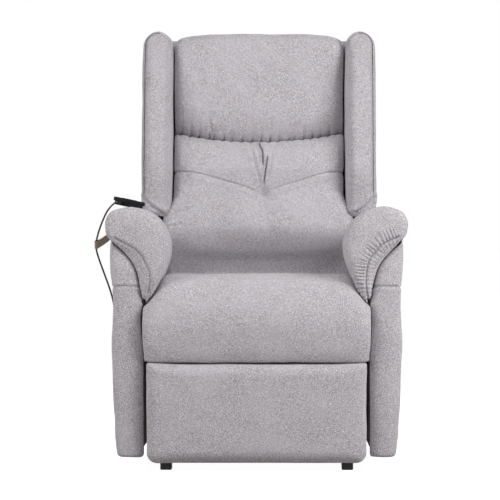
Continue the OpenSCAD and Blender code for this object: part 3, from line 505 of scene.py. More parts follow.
def lining(name, colour):
    """Non-woven dust cloth: a flat felt of fibres with faint embossed dots."""
    m = material(name)
    fibre = m.noise(1.1, 4.0, 0.7)
    dots = m.add("TexVoronoi", Vector=m.scaled(3), Scale=1.0, Randomness=0.1).outputs["Distance"]
    shade = m.blend(rgb(colour, 0.8), rgb(colour, 1.25), m.span(fibre, 0.35, 0.65))
    return m.surface(Base_Color=shade, Roughness=0.95, Sheen_Weight=0.1,
                     Normal=m.bump(m.math("ADD", fibre, dots), 0.4, 0.25))


UPHOLSTERY = fabric("upholstery_weave")
LINING = lining("lining_cloth", (46, 40, 38))
THREAD = thread("seam_thread", (110, 102, 104))
# A darker yarn for the wings' piping: partly its stitches, partly painted shade of the groove the piping lies in
PIPING_SHADE_YARN = thread("piping_thread", (78, 70, 71))
# The finish of each material slot of the CAD nodes
FINISH = {
    # powder coat: fine orange peel, dust and slightly rubbed patches
    "frame_steel": coat("frame_powder_coat", (30, 30, 32), [(1.6,), (60, 4.0, 0.6), (22, 5.0, 0.7)],
                        [(1, 16, 1, 0.45, 0.75, 0.6), (1, 42, 2, 0.66, 0.78, 0.5)], (1, 0.36, 0.54),
                        (0, 0.25, 0.12), Metallic=0.15, Coat_Weight=0.15, Coat_Roughness=0.3),
    "link_steel": bare_metal("link_zinc", (150, 151, 155), 0.36, (30, 4, 4)),
    "bright_steel": bare_metal("bright_ground_steel", (196, 198, 202), 0.24, (1.0, 30, 30)),
    "spring_steel": bare_metal("spring_wire", (128, 130, 136), 0.4, 2),
    "foot_plastic": plastic("foot_plastic_black", (14, 13, 13), 0.5, 1.2),
    "clip_plastic": plastic("clip_nylon", (40, 40, 42), 0.5, 1.0),
    "wood": timber("frame_softwood", (205, 172, 124)),
    "upholstery": UPHOLSTERY,
    "black_plastic": plastic("housing_black", (9, 10, 13), 0.62, 0.7, 0.08, 0.16),
    "button_plastic": plastic("button_grey", (64, 66, 72), 0.5, 0.5, 0.05),
    "cord_rubber": coat("cord_black", (15, 15, 16), [(0.7,), (30, 3.0, 0.6)],
                        [(1, 12, 1, 0.45, 0.75, 0.7)], (1, 0.42, 0.6), (0, 0.2, 0.08)),
    "webbing": webbing("strap_webbing", (168, 151, 130)),
}


# --- camera

def make_camera():
    away, turn = 7.535, math.radians(0.563)
    data = bpy.data.cameras.new("camera")
    data.sensor_width, data.lens = 36.0, 211.2
    data.shift_x = -0.0162
    data.clip_end = 600
    camera = collection(bpy.data.objects.new("camera", data))
    camera.location = (away * math.sin(turn), -away * math.cos(turn), MID_Z * 0.001)
    camera.rotation_euler = (math.radians(90), 0, turn)
    bpy.context.scene.camera = camera


make_camera()
bpy.context.scene.view_settings.view_transform = "Standard"


# --- the handset's cord and its strap

CORD_D, CORD_STEPS = 4.5, 5
CORD_POINTS = [
    (-344.5, -266.9, 655), (-348, -278, 655.5), (-353, -289, 653), (-361, -297, 645), (-371, -300, 631),
    (-380, -298, 612), (-388, -293, 592), (-394, -285, 574), (-398, -276, 556), (-398, -268, 538),
    (-393, -261, 518), (-386, -254, 497), (-378, -248, 474), (-369, -240, 448), (-361, -231, 420),
    (-356, -221, 392), (-352, -208, 362), (-350.5, -192, 332), (-350.5, -171, 302), (-350, -144, 275),
    (-349.5, -111, 251), (-349, -73, 232), (-349, -32, 220), (-350, 10, 214), (-352, 50, 213),
    (-357, 84, 215), (-365, 110, 218), (-370, 130, 220), (-368, 144, 220), (-360, 150, 220),
    (-354, 150, 220), (-348.4, 150, 220)]
STRAP_AT, STRAP_ROOT = np.array([-398, -274, 551.0]), np.array([-366.5, -264, 572.0])


def cord_route():
    """The same curve through the points as the CAD's, in metres."""
    p = np.array(CORD_POINTS[:1] + CORD_POINTS + CORD_POINTS[-1:], float)
    out = [between(*p[i:i + 4], j / CORD_STEPS) for i in range(len(p) - 3) for j in range(CORD_STEPS)]
    return np.array(out + [p[-1]]) * 0.001


def make_cord():
    route = cord_route()
    data = bpy.data.curves.new("handset_cord_rubber", "CURVE")
    data.dimensions = "3D"
    line = data.splines.new("POLY")
    line.points.add(len(route) - 1)
    for point, at in zip(line.points, route):
        point.co = (*at, 1)
    data.bevel_depth = CORD_D / 2000
    data.bevel_resolution = 4
    data.use_fill_caps = True
    data.materials.append(FINISH["cord_rubber"])
    cord = collection(bpy.data.objects.new("handset_cord_rubber", data))
    length = float(np.sum(np.linalg.norm(np.diff(route, axis=0), axis=1)))
    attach(cord, "chassis")
    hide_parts("handset_cord")
    return cord, tuple(route[0]), length


def make_strap():
    """A webbing loop sewn to itself: round the cord, then two plies side by side to the arm."""
    way = np.array(CORD_POINTS[9], float) - np.array(CORD_POINTS[8], float)
    way /= np.linalg.norm(way)
    reach = STRAP_ROOT - STRAP_AT
    out = reach - (reach @ way) * way
    size = np.linalg.norm(out)
    out /= size
    side = np.cross(way, out)
    r, gap, wide = CORD_D / 2 + 1.5, 0.85, 10.0
    ply = [(size + 3, gap), (size * 0.75, gap + 0.1), (size * 0.45, gap), (r * 2.3, gap + 0.1), (r * 1.35, r * 0.62)]
    round_cord = [(r * math.cos(a), r * math.sin(a)) for a in np.linspace(-0.75, -2 * math.pi + 0.75, 17)]
    rings = []
    for a, b in resample([(a, -b) for a, b in ply] + round_cord + ply[::-1], 64):
        sag = -2.2 * math.sin(math.pi * min(1, max(0, a / size)))
        mid = STRAP_AT + out * a + side * b + way * (reach @ way) * max(0.0, a / size) + np.array([0, 0, sag])
        curl = 0.5 * math.sin(a / 4.0)
        rings.append([mid + way * wide * t + side * curl * abs(t) ** 2 * 0.6 for t in np.linspace(-1, 1, 13)])
    strap = skin("cord_strap_webbing", rings, wrap=False, merge=0)
    thick = strap.modifiers.new("thick", "SOLIDIFY")
    thick.thickness, thick.offset = 0.0012, 0
    strap.data.materials.append(FINISH["webbing"])
    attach(strap, "chassis")
    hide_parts("cord_strap")
    return strap


CORD, CORD_EXIT, CORD_LENGTH = make_cord()
STRAP = make_strap()


# --- upholstery

def finish(obj, body, node):
    obj.data.materials.append(UPHOLSTERY)
    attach(obj, body)
    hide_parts(node)
    return obj


def sewn(name, obj, body, path, way, yarn=THREAD, **sizes):
    """A stitched row that rides with its piece."""
    row = stitches(name, obj, path, way, **sizes)
    row.data.materials.append(yarn)
    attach(row, body)


# Seat, [y, z]: from the lower front edge up, over the crown and back, then home underneath
SEAT_TOP = [
    (-412, 264.4), (-420, 266.5), (-426, 275), (-431.5, 300), (-434.2, 330), (-433.5, 362), (-428.8, 391),
    (-420, 417), (-406, 438), (-387, 453.5), (-362, 463.5), (-332, 469.5), (-290, 472.8), (-240, 473.5),
    (-180, 472.5), (-110, 470), (-40, 466), (20, 462), (70, 458.5), (112, 455), (138, 447), (149, 424)]
SEAT_UNDER = [
    (148, 372), (141, 345), (60, 342), (-120, 342), (-330, 342), (-384, 341), (-398, 318), (-401, 290),
    (-403, 271), (-410, 266.5)]


def make_seat():
    half, inner = HALF + 4.5, HALF - 1.2
    outline = resample(SEAT_TOP, 230)
    s = np.linspace(-1, 1, 170)
    rings = []
    for a in np.sign(s) * (1 - (1 - np.abs(s)) ** 1.25):
        x, edge = a * half, np.abs(a)
        y, z = outline.T
        # the crown falls away beside the arm pads, and the whole edge is a soft round
        d = half * (1 - edge)
        fall = 46 * (1 - smooth((d - 4) / 62)) ** 1.6 * (1 - 0.42 * smooth((-385 - y) / 34))
        roundness = draw_in(d, 26)
        upper = smooth((z - 330) / 110)
        z = z - upper * (fall + 0.35 * roundness) + 3.0 * (1 - edge ** 2) * upper
        front = smooth((-300 - y) / 120)
        y = y + front * (roundness * 0.62 + 3.0 * edge ** 4)
        z = z + (1 - smooth((z - 266) / 26)) * front * roundness * 0.25
        # the flanks behind the front lip lie between the arm boards
        width = np.minimum(abs(x), mix(half, inner, smooth((y + 400) / 12)))
        taper = 4.0 * (1 - smooth((z - 262) / 110)) * edge
        xs = np.sign(x) * width - np.sign(x) * taper
        under = resample([(y[-1], z[-1])] + SEAT_UNDER + [(y[0], z[0])], 60, spline=False)[1:-1]
        flank = np.full(len(under), np.sign(x) * min(abs(x), inner - 0.5))
        rings.append(np.vstack([np.stack([xs, y, z], 1), np.column_stack([flank, under])]))

    def room(p):
        x, y, z = p.T
        beside = 0.15 + 0.85 * smooth((HALF - 22 - np.abs(x)) / 60)
        return smooth((z - 300) / 60) * beside * smooth((-100 - y) / 200)

    def depth(p):
        x, y, z = p.T
        out = 0.9 * wobble(p, 70, 11) + 0.35 * wobble(p, 26, 12)
        face = smooth((-395 - y) / 20)
        # gathers over the lower seam and dimples at its ends
        out += -1.6 * bell(z - 274, 7) * face * (0.5 + 0.5 * wobble(p, 16, 13))
        for side in (-1, 1):
            out += -2.2 * bell(np.hypot(x - side * 262, z - 285), 16) * face
            out += furrow([(side * 268, 402), (side * 236, 418)], x, z, 1.5, 6) * face
        return out + 0.7 * np.sin(x / 60 + 0.6) * bell(z - 430, 40) * face

    seat = plump(skin("seat_cushion_soft", rings), room, cap=5.0)
    finish(press(seat, depth), "chassis", "seat_cushion")


def make_footrest():
    """A board panel wrapped in padding: rounded lower corners, tucked pleats at the upper ones."""
    z0, z1, half_w = 20.0, 263.6, HALF - 6.4
    edge_y, front_y, back_y = -409.0, -434.6, -381.8

    def ring(d, y):
        """The outline, drawn in by d, at y."""
        w, low, high = half_w - d, z0 + d, z1 - d
        r_low, r_top = max(4.0, 27 - d), max(1.5, 4 - d * 0.4)
        pts = [(cx + r * math.cos(math.radians(a)), cz + r * math.sin(math.radians(a)))
               for cx, cz, r, start in ((w - r_low, low + r_low, r_low, -90), (w - r_top, high - r_top, r_top, 0),
                                        (-w + r_top, high - r_top, r_top, 90), (-w + r_low, low + r_low, r_low, 180))
               for a in np.linspace(start, start + 90, 9)]
        return upright(resample(pts + pts[:1], 421, spline=False)[:-1], y)

    rings = [ring(118 * w, edge_y - (edge_y - front_y) * (1 - (1 - min(1, 118 * w / 30)) ** 2.2) ** 0.5)
             for w in np.linspace(1, 0, 60)]
    rings += [ring(5 * max(0, k / 11 - 0.6) ** 2, mix(edge_y, back_y, k / 11)) for k in range(1, 12)]
    rings += [ring(d, back_y + 0.3) for d in (6, 12, 60, 110)]

    def room(p):
        return smooth((-392 - p[:, 1]) / 20) * smooth((HALF - 30 - np.abs(p[:, 0])) / 50)

    def depth(p):
        x, y, z = p.T
        face = smooth((-404 - y) / 18)
        out = 0.8 * wobble(p, 80, 21) + 0.3 * wobble(p, 28, 22)
        for side in (-1, 1):
            out += furrow([(side * 266, 262), (side * 246, 238)], x, z, 2.6, 3.2) * face
            out += furrow([(side * 268, 246), (side * 252, 226)], x, z, 1.4, 3.0) * face
            out += 1.2 * bell(np.hypot(x - side * 250, z - 250), 14) * face
            out += furrow([(side * 262, 36), (side * 240, 52)], x, z, 1.0, 4) * face
        return out

    pad = plump(skin("footrest_pad_soft", rings), room, cap=4.0, blend=0.6)
    finish(press(pad, depth), "footrest", "footrest_pad")


# Arm pad, [outwards from the arm board's plane, above the crown]: its upper and under side at the
# front, and its upper side at the rear
PAD_UPPER = [
    (80, -80), (91, -68), (94.5, -50), (94, -32), (82, -12), (58, -1.5), (34.6, 1), (8, -3), (-16, -12),
    (-38, -31), (-54, -58), (-61.6, -87), (-60, -116), (-52, -145), (-41, -173), (-30, -197), (-17, -217), (-3, -234)]
PAD_UNDER = [
    (80, -80), (76, -86), (67, -95), (55, -105), (44, -116), (34, -128), (26, -141), (19.5, -155), (15, -170),
    (12, -186), (9, -202), (5.5, -218), (-3, -234)]
REAR_UPPER = [
    (84, -84), (90, -74), (92, -62), (88, -48), (76, -40), (62, -38), (40, -37), (22, -39), (6, -46), (-5, -60),
    (-9.5, -86), (-10.5, -110), (-10, -130), (-9, -167), (-8, -190), (-6, -212), (-3, -230)]
# The pads' front seams, in the picture
PAD_SEAM = {
    -1: [(110.6, 236), (117, 239), (123, 242.6), (130, 246.2), (137.4, 251), (142.5, 257), (146, 264.6),
         (148.6, 270), (150, 276), (150.2, 281), (149.4, 286), (148.4, 292), (147, 298)],
    1: [(401.5, 235.5), (393, 238.8), (384, 243), (379, 247), (375.5, 252), (371.5, 256.5), (369, 260.5),
        (367.4, 265), (366.6, 270), (365.9, 277), (365.7, 284), (366.6, 293), (369, 303)]}
# How strong the gathers are, how many mm apart, how deep the seam and how far back the band below it
RUCHING = {-1: (0.5, 6.4, 1.9, 1.8), 1: (1.15, 8.2, 4.2, 2.2)}


def loop_of(a, b, c, y):
    """The ring along chain a and back along b, both drawn towards their middle by a share c."""
    mid = (a + b) / 2
    return upright(np.vstack([mix(a, mid, c), mix(b, mid, c)[::-1]]), y)


def nose(a, b, edge_y, steps, power, most, least, share, curve):
    """Rings that close the front end between the chains a and b over a dome: least mm proud and a share
    of the half width more, at most `most` mm. Power sets how the rings are spread, curve how round it is."""
    half_w = np.linalg.norm(a - b, axis=1) / 2
    rings = []
    for w in np.linspace(1, 0, steps):
        bulge = np.minimum(most, least + half_w * share) * (1 - (1 - w) ** curve) ** 0.5
        rings.append(loop_of(a, b, w ** power, edge_y - np.concatenate([bulge, bulge[::-1]])))
    return rings


def rear_loop(a, b, y, rear, r, most):
    """The ring at y, drawn together over the last r mm before the rear."""
    c = max(0.0, (y - rear + r) / r)
    return loop_of(a, b, most * (1 - math.sqrt(max(0.0, 1 - c * c))), y)


def make_arm_pad(side, label):
    n, edge_y, rear_y, r = 240, -384.0, 249.0, 22
    upper, under, rear_up = resample(PAD_UPPER, n), resample(PAD_UNDER, n), resample(REAR_UPPER, n)
    share = np.linspace(0, 1, n)
    k = smooth(np.minimum(share, 1 - share) / 0.08)[:, None]

    def section(t):
        a, b = mix(upper, rear_up, t), under.copy()
        b[0], b[-1] = a[0], a[-1]
        return a, mix(a * (1 - k) + b * k, b, 0.5)

    rings = nose(*section(0), edge_y, steps=52, power=1.15, most=27, least=7, share=0.62, curve=2.3)
    rear_end = rear_y - r + r * np.sin(np.linspace(0.2, 1.5, 7))
    for y in np.concatenate([np.linspace(edge_y, rear_y - r, 92)[1:], rear_end]):
        rings.append(rear_loop(*section(float(smooth((y + 215) / 260))), y, rear_y, r, most=0.7))
    rings = np.array(rings)
    rings[:, :, 0] = side * (HALF + rings[:, :, 0])
    rings[:, :, 2] += ARM_Z
    seam = [(abs(x) - HALF, z - ARM_Z) for x, z in (photo(*at) for at in PAD_SEAM[side])]
    ruche, pitch, groove, recess = RUCHING[side]

    def depth(p):
        x, y, z = np.abs(p[:, 0]) - HALF, p[:, 1], p[:, 2] - ARM_Z
        place, off, total = along(seam, x, z)
        face = smooth((-372 - y) / 16)
        shown = face * smooth(place / 14) * smooth((total - place) / 10)
        out = 0.7 * wobble(p, 60, 31) + 0.35 * wobble(p, 24, 32)
        out += (-groove * bell(off, 2.7) + 1.0 * bell(np.abs(off) - 8, 5)) * shown
        # which side of the seam faces the crown differs, so take it from the section's middle
        crown = along(seam, np.array([20.0]), np.array([-50.0]))[1][0]
        crown = np.where(crown * off > 0, np.abs(off), -np.abs(off))
        phase = place / pitch + 0.35 * np.sin(place / 19.0) + 0.06 * wobble(p, 20, 33)
        ridge = np.abs(np.sin(math.pi * phase)) ** 0.7 - 0.62
        reach = smooth(crown / 3) * (1 - smooth((crown - 10 - 9 * np.abs(np.sin(1.7 * np.floor(phase)))) / 17))
        out += 3.4 * ruche * ridge * reach * shown
        band = smooth(-crown / 2) * (1 - smooth((-crown - 16) / 10))
        folds = np.abs(np.sin(math.pi * place / 10.5 + 1.1)) ** 0.8 - 0.6
        out += (1.5 * (0.5 + 0.5 * ruche) * folds - recess) * band * shown
        # a seam along the arm's length joins the band to the top
        return out - 1.6 * bell(x - 84, 2.0) * smooth((z + 90) / 10) * (1 - face)

    pad = press(skin(f"arm_pad_{label}_soft", rings, ends=(False, True)), depth)
    finish(pad, "chassis", f"arm_pad_{label}")
    line = [(side * (HALF + a), 0, ARM_Z + b) for a, b in resample(seam, 60)[3:-3]]
    sewn(f"arm_pad_{label}_stitches", pad, "chassis", line, (0, 1, 0), pitch=3.8, length=4.0, thick=1.1)


# Arm panel, [mm in from the outermost plane, z]: its outer side below and above the crease under the pad
PANEL_LOW = [(38, 33.5), (26, 34.5), (19.5, 39), (17, 50), (13, 87), (11, 124), (8, 160), (6, 233), (3.5, 306),
             (5.5, 350), (7.5, 396)]
PANEL_HIGH = [(7.5, 396), (7.0, 420), (7.0, 440), (7.2, 447), (6.0, 455), (2.5, 480), (0.5, 510), (0, 535),
              (1.5, 558), (5, 573)]
# The same for its inner side, [mm out from the inner plane, z]
PANEL_INNER = [(6, 34.2), (0.6, 42), (0, 60), (0, 200), (0, 262), (2.5, 306), (5.5, 340), (6.5, 367), (3.5, 396)]
PANEL_SEAM_Z, PANEL_OUT = 447.5, 84


def make_arm_panel(side, label):
    def chain(low, high):
        return np.vstack([resample(low, 110)[:-1], resample(high, 60)])

    def inner_chain(x_in):
        """Up the inside from the bottom, then along the crease under the pad to the same top corner."""
        low = [(HALF + 34, 33.5)] + [(x_in + a, z) for a, z in PANEL_INNER]
        crease = [(HALF + a + 0.6, ARM_Z + b - 0.8) for a, b in PAD_UNDER[-4:0:-1]]
        c = chain(low, [low[-1], (x_in + 1.5, 410)] + crease + [(HALF + 79, 573)])
        return np.stack([np.maximum(c[:, 0], x_in), c[:, 1]], 1)

    out_front = chain(PANEL_LOW, PANEL_HIGH)
    out_front[:, 0] = HALF + PANEL_OUT - out_front[:, 0]
    # behind the front the side is drawn in, where the cord hangs along it
    z = out_front[:, 1]
    drawn = 8.5 * smooth((440 - z) / 70) * smooth((z - 45) / 60)
    out_body = out_front - np.array([[1.0, 0.0]]) * drawn[:, None]
    in_front, in_body = inner_chain(HALF + 1.2), inner_chain(HALF + 17.6)
    edge_y, rear_y, r = -381.0, 254.0, 14
    rings = nose(out_front, in_front, edge_y, steps=36, power=1.1, most=19, least=4, share=0.5, curve=2.5)
    for y in np.concatenate([[-380, -372, -364, -358, -352], np.linspace(-346, rear_y - r, 70),
                             rear_y - r + r * np.sin(np.linspace(0.3, 1.5, 6))]):
        inner = mix(in_front, in_body, float(smooth((y + 386) / 14)))
        outer = mix(out_front, out_body, float(smooth((y + 375) / 90)))
        rings.append(rear_loop(outer, inner, y, rear_y, r, most=0.35))
    rings = np.array(rings)
    rings[:, :, 0] *= side

    def depth(p):
        x, y, z = np.abs(p[:, 0]), p[:, 1], p[:, 2]
        front = smooth((-366 - y) / 14)
        outside = smooth((x - HALF - 50) / 20) * (1 - front)
        out = 0.9 * wobble(p, 90, 41) + 0.4 * wobble(p, 30, 42)
        off = z - (PANEL_SEAM_Z + 2.0 * np.sin((x - HALF) / 26))
        out += (-2.2 * bell(off, 1.9) + 0.9 * bell(np.abs(off) - 7, 5)) * front
        out += -1.7 * bell(z - PANEL_SEAM_Z, 2.2) * outside
        out += furrow([(HALF + 4, 424), (HALF + 20, 438)], x, z, 1.6, 3.2) * front
        out += furrow([(HALF + 3, 410), (HALF + 24, 420)], x, z, 1.0, 4.0) * front
        # a few soft drags in the cloth of the outer side
        for a, b in ((-250, 330), (-60, 250), (120, 340)):
            out -= furrow([(a, b), (a + 60, b - 90)], y, z, 0.8, 20) * outside
        # side seam at the front corner
        return out - 1.3 * bell(y + 352, 2.0) * smooth((x - HALF - 55) / 8)

    panel = press(skin(f"arm_panel_{label}_soft", rings, ends=(False, True)), depth)
    finish(panel, "chassis", f"arm_panel_{label}")
    line = [(side * (HALF + a), 0, PANEL_SEAM_Z + 2.3 + 2.0 * math.sin(a / 26)) for a in np.linspace(14, 72, 30)]
    sewn(f"arm_panel_{label}_stitches", panel, "chassis", line, (0, 1, 0), pitch=3.8, length=3.8, thick=0.9)


# --- backrest cushions, in its leaning frame

# The seam between the two cushions: its height at the middle and how much it rises to the sides
SEAM_V, SEAM_RISE = 494.0, 26.0
# The head cushion's half width and top, the lumbar cushion's foot and half width, and both cushions' back
HEAD_HW, HEAD_TOP, LUMBAR_V0, LUMBAR_HW, BACK_U = 224.6, 779.0, 108.0, HALF - 22.0, 61.0
# The gathers along the seam between the head cushion and the lumbar cushion
GATHERS = np.array([-205, -180, -158, -131, -119, -92, -70, -44, -18, 6, 29, 53, 79, 92, 118, 141, 163, 188, 209.0])


def seam_at(x):
    return SEAM_V + SEAM_RISE * (np.abs(x) / HEAD_HW) ** 2


def notches(x):
    """The distance in mm from the nearest gather."""
    return np.min(np.abs(x[..., None] - GATHERS), axis=-1)


def back_cushion(name, ts, half_at, face_at, low_at, high_at, side_r, fine=(), tail=0.0):
    """A cushion built of rings upwards: a rounded front between its sides, and a flat back."""
    a = np.linspace(-1, 1, 330)
    s = np.unique(np.concatenate([0.7 * a + 0.3 * np.sin(a * math.pi / 2), fine]))
    rings = []
    for t in ts:
        hw = half_at(t)
        xs = hw * s
        u = np.minimum(face_at(xs, t) + draw_in(hw - np.abs(xs), side_r), BACK_U - 30)
        v = mix(low_at(xs), high_at(xs), t)
        flank = np.array([(hw * (1 - 0.01 * k), mix(u[-1], BACK_U, k)) for k in np.linspace(0.12, 1, 9)])
        right = np.column_stack([flank, np.full(9, v[-1])])
        left = np.column_stack([-flank[::-1, 0], flank[::-1, 1], np.full(9, v[0])])
        bx = np.linspace(hw * 0.985, -hw * 0.985, 60)
        back = np.stack([bx, np.full(60, BACK_U), mix(low_at(bx), high_at(bx), t)], 1)
        rings.append(np.vstack([np.stack([xs, u, v], 1), right, back, left]))
    first = rings[0]
    for k in np.linspace(0, 1, 12)[1:] if tail else ():
        # a thin tail below the cushion, tucked behind the seat
        u = mix(first[:, 1], np.maximum(first[:, 1], BACK_U - 24), smooth(k * 1.6))
        rings.insert(0, np.stack([first[:, 0] * (1 + 0.035 * smooth(k * 2)), u, first[:, 2] - tail * k], 1))

    def lid(ring, rise):
        """Rings that close an end over a soft dome, towards the line between its front and its back."""
        mid_u = (np.interp(ring[:, 0], ring[:len(s), 0], ring[:len(s), 1]) + BACK_U) / 2
        goal = np.stack([ring[:, 0] * 0.96, mid_u, ring[:, 2]], 1)
        return [mix(ring, goal, k) + [0, 0, rise * math.sin(k * math.pi / 2)]
                for k in (0.08, 0.2, 0.38, 0.6, 0.82, 1.0)]

    rings = np.array(lid(rings[0], rise=-4.0)[::-1] + rings + lid(rings[-1], rise=7.0))
    return skin(name, lean_rings(rings))


def room_lean(wide, low, high):
    def room(p):
        x, u, v = to_lean(p)
        within = smooth((wide + 30 - np.abs(x)) / 60) * smooth((v - low) / 40) * smooth((high - v) / 40)
        return within * smooth((-30 - u) / 25)
    return room


# Folds of the head cushion, ((places of the picture), depth, width): up from its lower seam, and drags at the sides
HEAD_FOLDS = (
    (((209.6, 118), (211.3, 127), (213, 140)), 5.2, 2.6), (((230, 127), (230.6, 140)), 4.2, 2.5),
    (((291.8, 127), (290.5, 134), (288.4, 141)), 5.0, 2.6), (((198, 131), (198.5, 138)), 2.6, 2.6),
    (((245, 132), (245.4, 141)), 2.4, 2.6), (((310, 130), (309, 138)), 2.0, 2.6))
HEAD_DRAGS = ((176, 92), (184, 86)), ((176, 112), (186, 104)), ((342, 96), (334, 88))


def make_head():
    def low_at(x):
        return seam_at(x) + 0.6 - 1.7 * (smooth(notches(x) / 9) - 0.5)

    def high_at(x):
        r = np.abs(x) / HEAD_HW
        return HEAD_TOP - 9.5 * r ** 2.4 - 4 * r ** 8 + 1.0 + 2.2 * bell(x - 130, 45) - 1.0 * bell(x - 30, 30)

    def face_at(x, t):
        v = mix(low_at(x), high_at(x), t)
        full = 57 + 26 * float(smooth(t / 0.92)) ** 0.9 + 9 * (1 - (x / HEAD_HW) ** 2)
        return -full + draw_in(v - low_at(x), 72) * 0.82 + draw_in(high_at(x) - v, 28) * 1.35

    def half_at(t):
        return HEAD_HW - 1.2 - 7 * float(smooth((t - 0.8) / 0.2)) ** 2

    def depth(p):
        x, u, v = to_lean(p)
        ax = np.abs(x)
        front = smooth((-18 - u) / 30)
        out = 1.0 * wobble(p, 80, 51) + 0.45 * wobble(p, 30, 52)
        # gathers along the lower seam: a notch at each, fading upwards
        above, near = v - seam_at(x), notches(x)
        uneven = 0.55 + 0.45 * np.sin(x / 31.0 + 0.7) * np.sin(x / 12.7)
        out += (-3.2 * uneven * bell(near, 2.6) * bell(above, 9 + 5 * uneven)
                + 1.0 * smooth(near / 9) * bell(above - 3, 9)) * smooth((HEAD_HW + 4 - ax) / 12)
        for points, deep, wide in HEAD_FOLDS:
            place, off, total = along(on_back(points), x, v)
            out += -1.1 * deep * bell(off, wide) * front * smooth(place / (0.6 * total) + 0.1)
        for points in HEAD_DRAGS:
            out += furrow(on_back(points), x, v, 1.0, 5) * front
        # the piped seam just below the top edge, and the side seams
        top = high_at(x) - v
        out += (-2.6 * bell(top - 8.5, 1.8) + 1.0 * bell(top - 3.5, 3.0)) * smooth((30 - u) / 20)
        return out - 1.2 * bell(HEAD_HW - 7 - ax, 1.8) * front

    t = 1 - np.cos(np.linspace(0, math.pi / 2, 46))
    ts = np.unique(np.concatenate([0.16 * t, np.linspace(0.16, 0.86, 120), 1 - 0.14 * t]))
    head = back_cushion("head_cushion_soft", ts, half_at, face_at, low_at, high_at, side_r=27.0)
    head = plump(head, room_lean(HEAD_HW - 30, SEAM_V + 30, 750), cap=8.0)
    finish(press(head, depth), "backrest", "head_cushion")


# The tuft of the lumbar cushion and the left half of its sewn V, in the picture
TUFT = (262.6, 192)
VEE = [(174.6, 171.8), (186.7, 172.7), (200.8, 175), (215, 179), (228, 182.8), (240, 186), (254, 190.6),
       (262.6, 193.5)]
# Its creases from the upper seam down to the tuft, as ((places of the picture), depth, width)
CREASES = (
    (((258.8, 141), (259.6, 145), (262.2, 151), (262.9, 159), (262.9, 167)), 9.5, 1.9),
    (((267.2, 158), (266.6, 165), (265, 175), (263.6, 186)), 8.0, 1.9),
    (((251.5, 152), (254.3, 161), (257, 172), (260, 184)), 3.4, 3.2),
    (((272, 154), (270.6, 166), (267.5, 180)), 2.4, 3.4),
    (((236, 144), (237, 150)), 1.6, 3.0), (((281, 143.5), (280, 150)), 1.6, 3.0))
# Its wrinkles where it spreads out under the wings, as ((places of the picture), depth)
WRINKLES = (
    (((163, 222), (176, 214), (190, 211)), 2.6), (((160, 231), (174, 226), (186, 226)), 2.0),
    (((352, 222), (340, 216), (330, 216)), 1.6), (((176, 190), (186, 196), (190, 204)), 1.4),
    (((167, 210), (172, 200), (180, 190)), 1.6), (((352, 205), (346, 196), (342, 188)), 1.2))


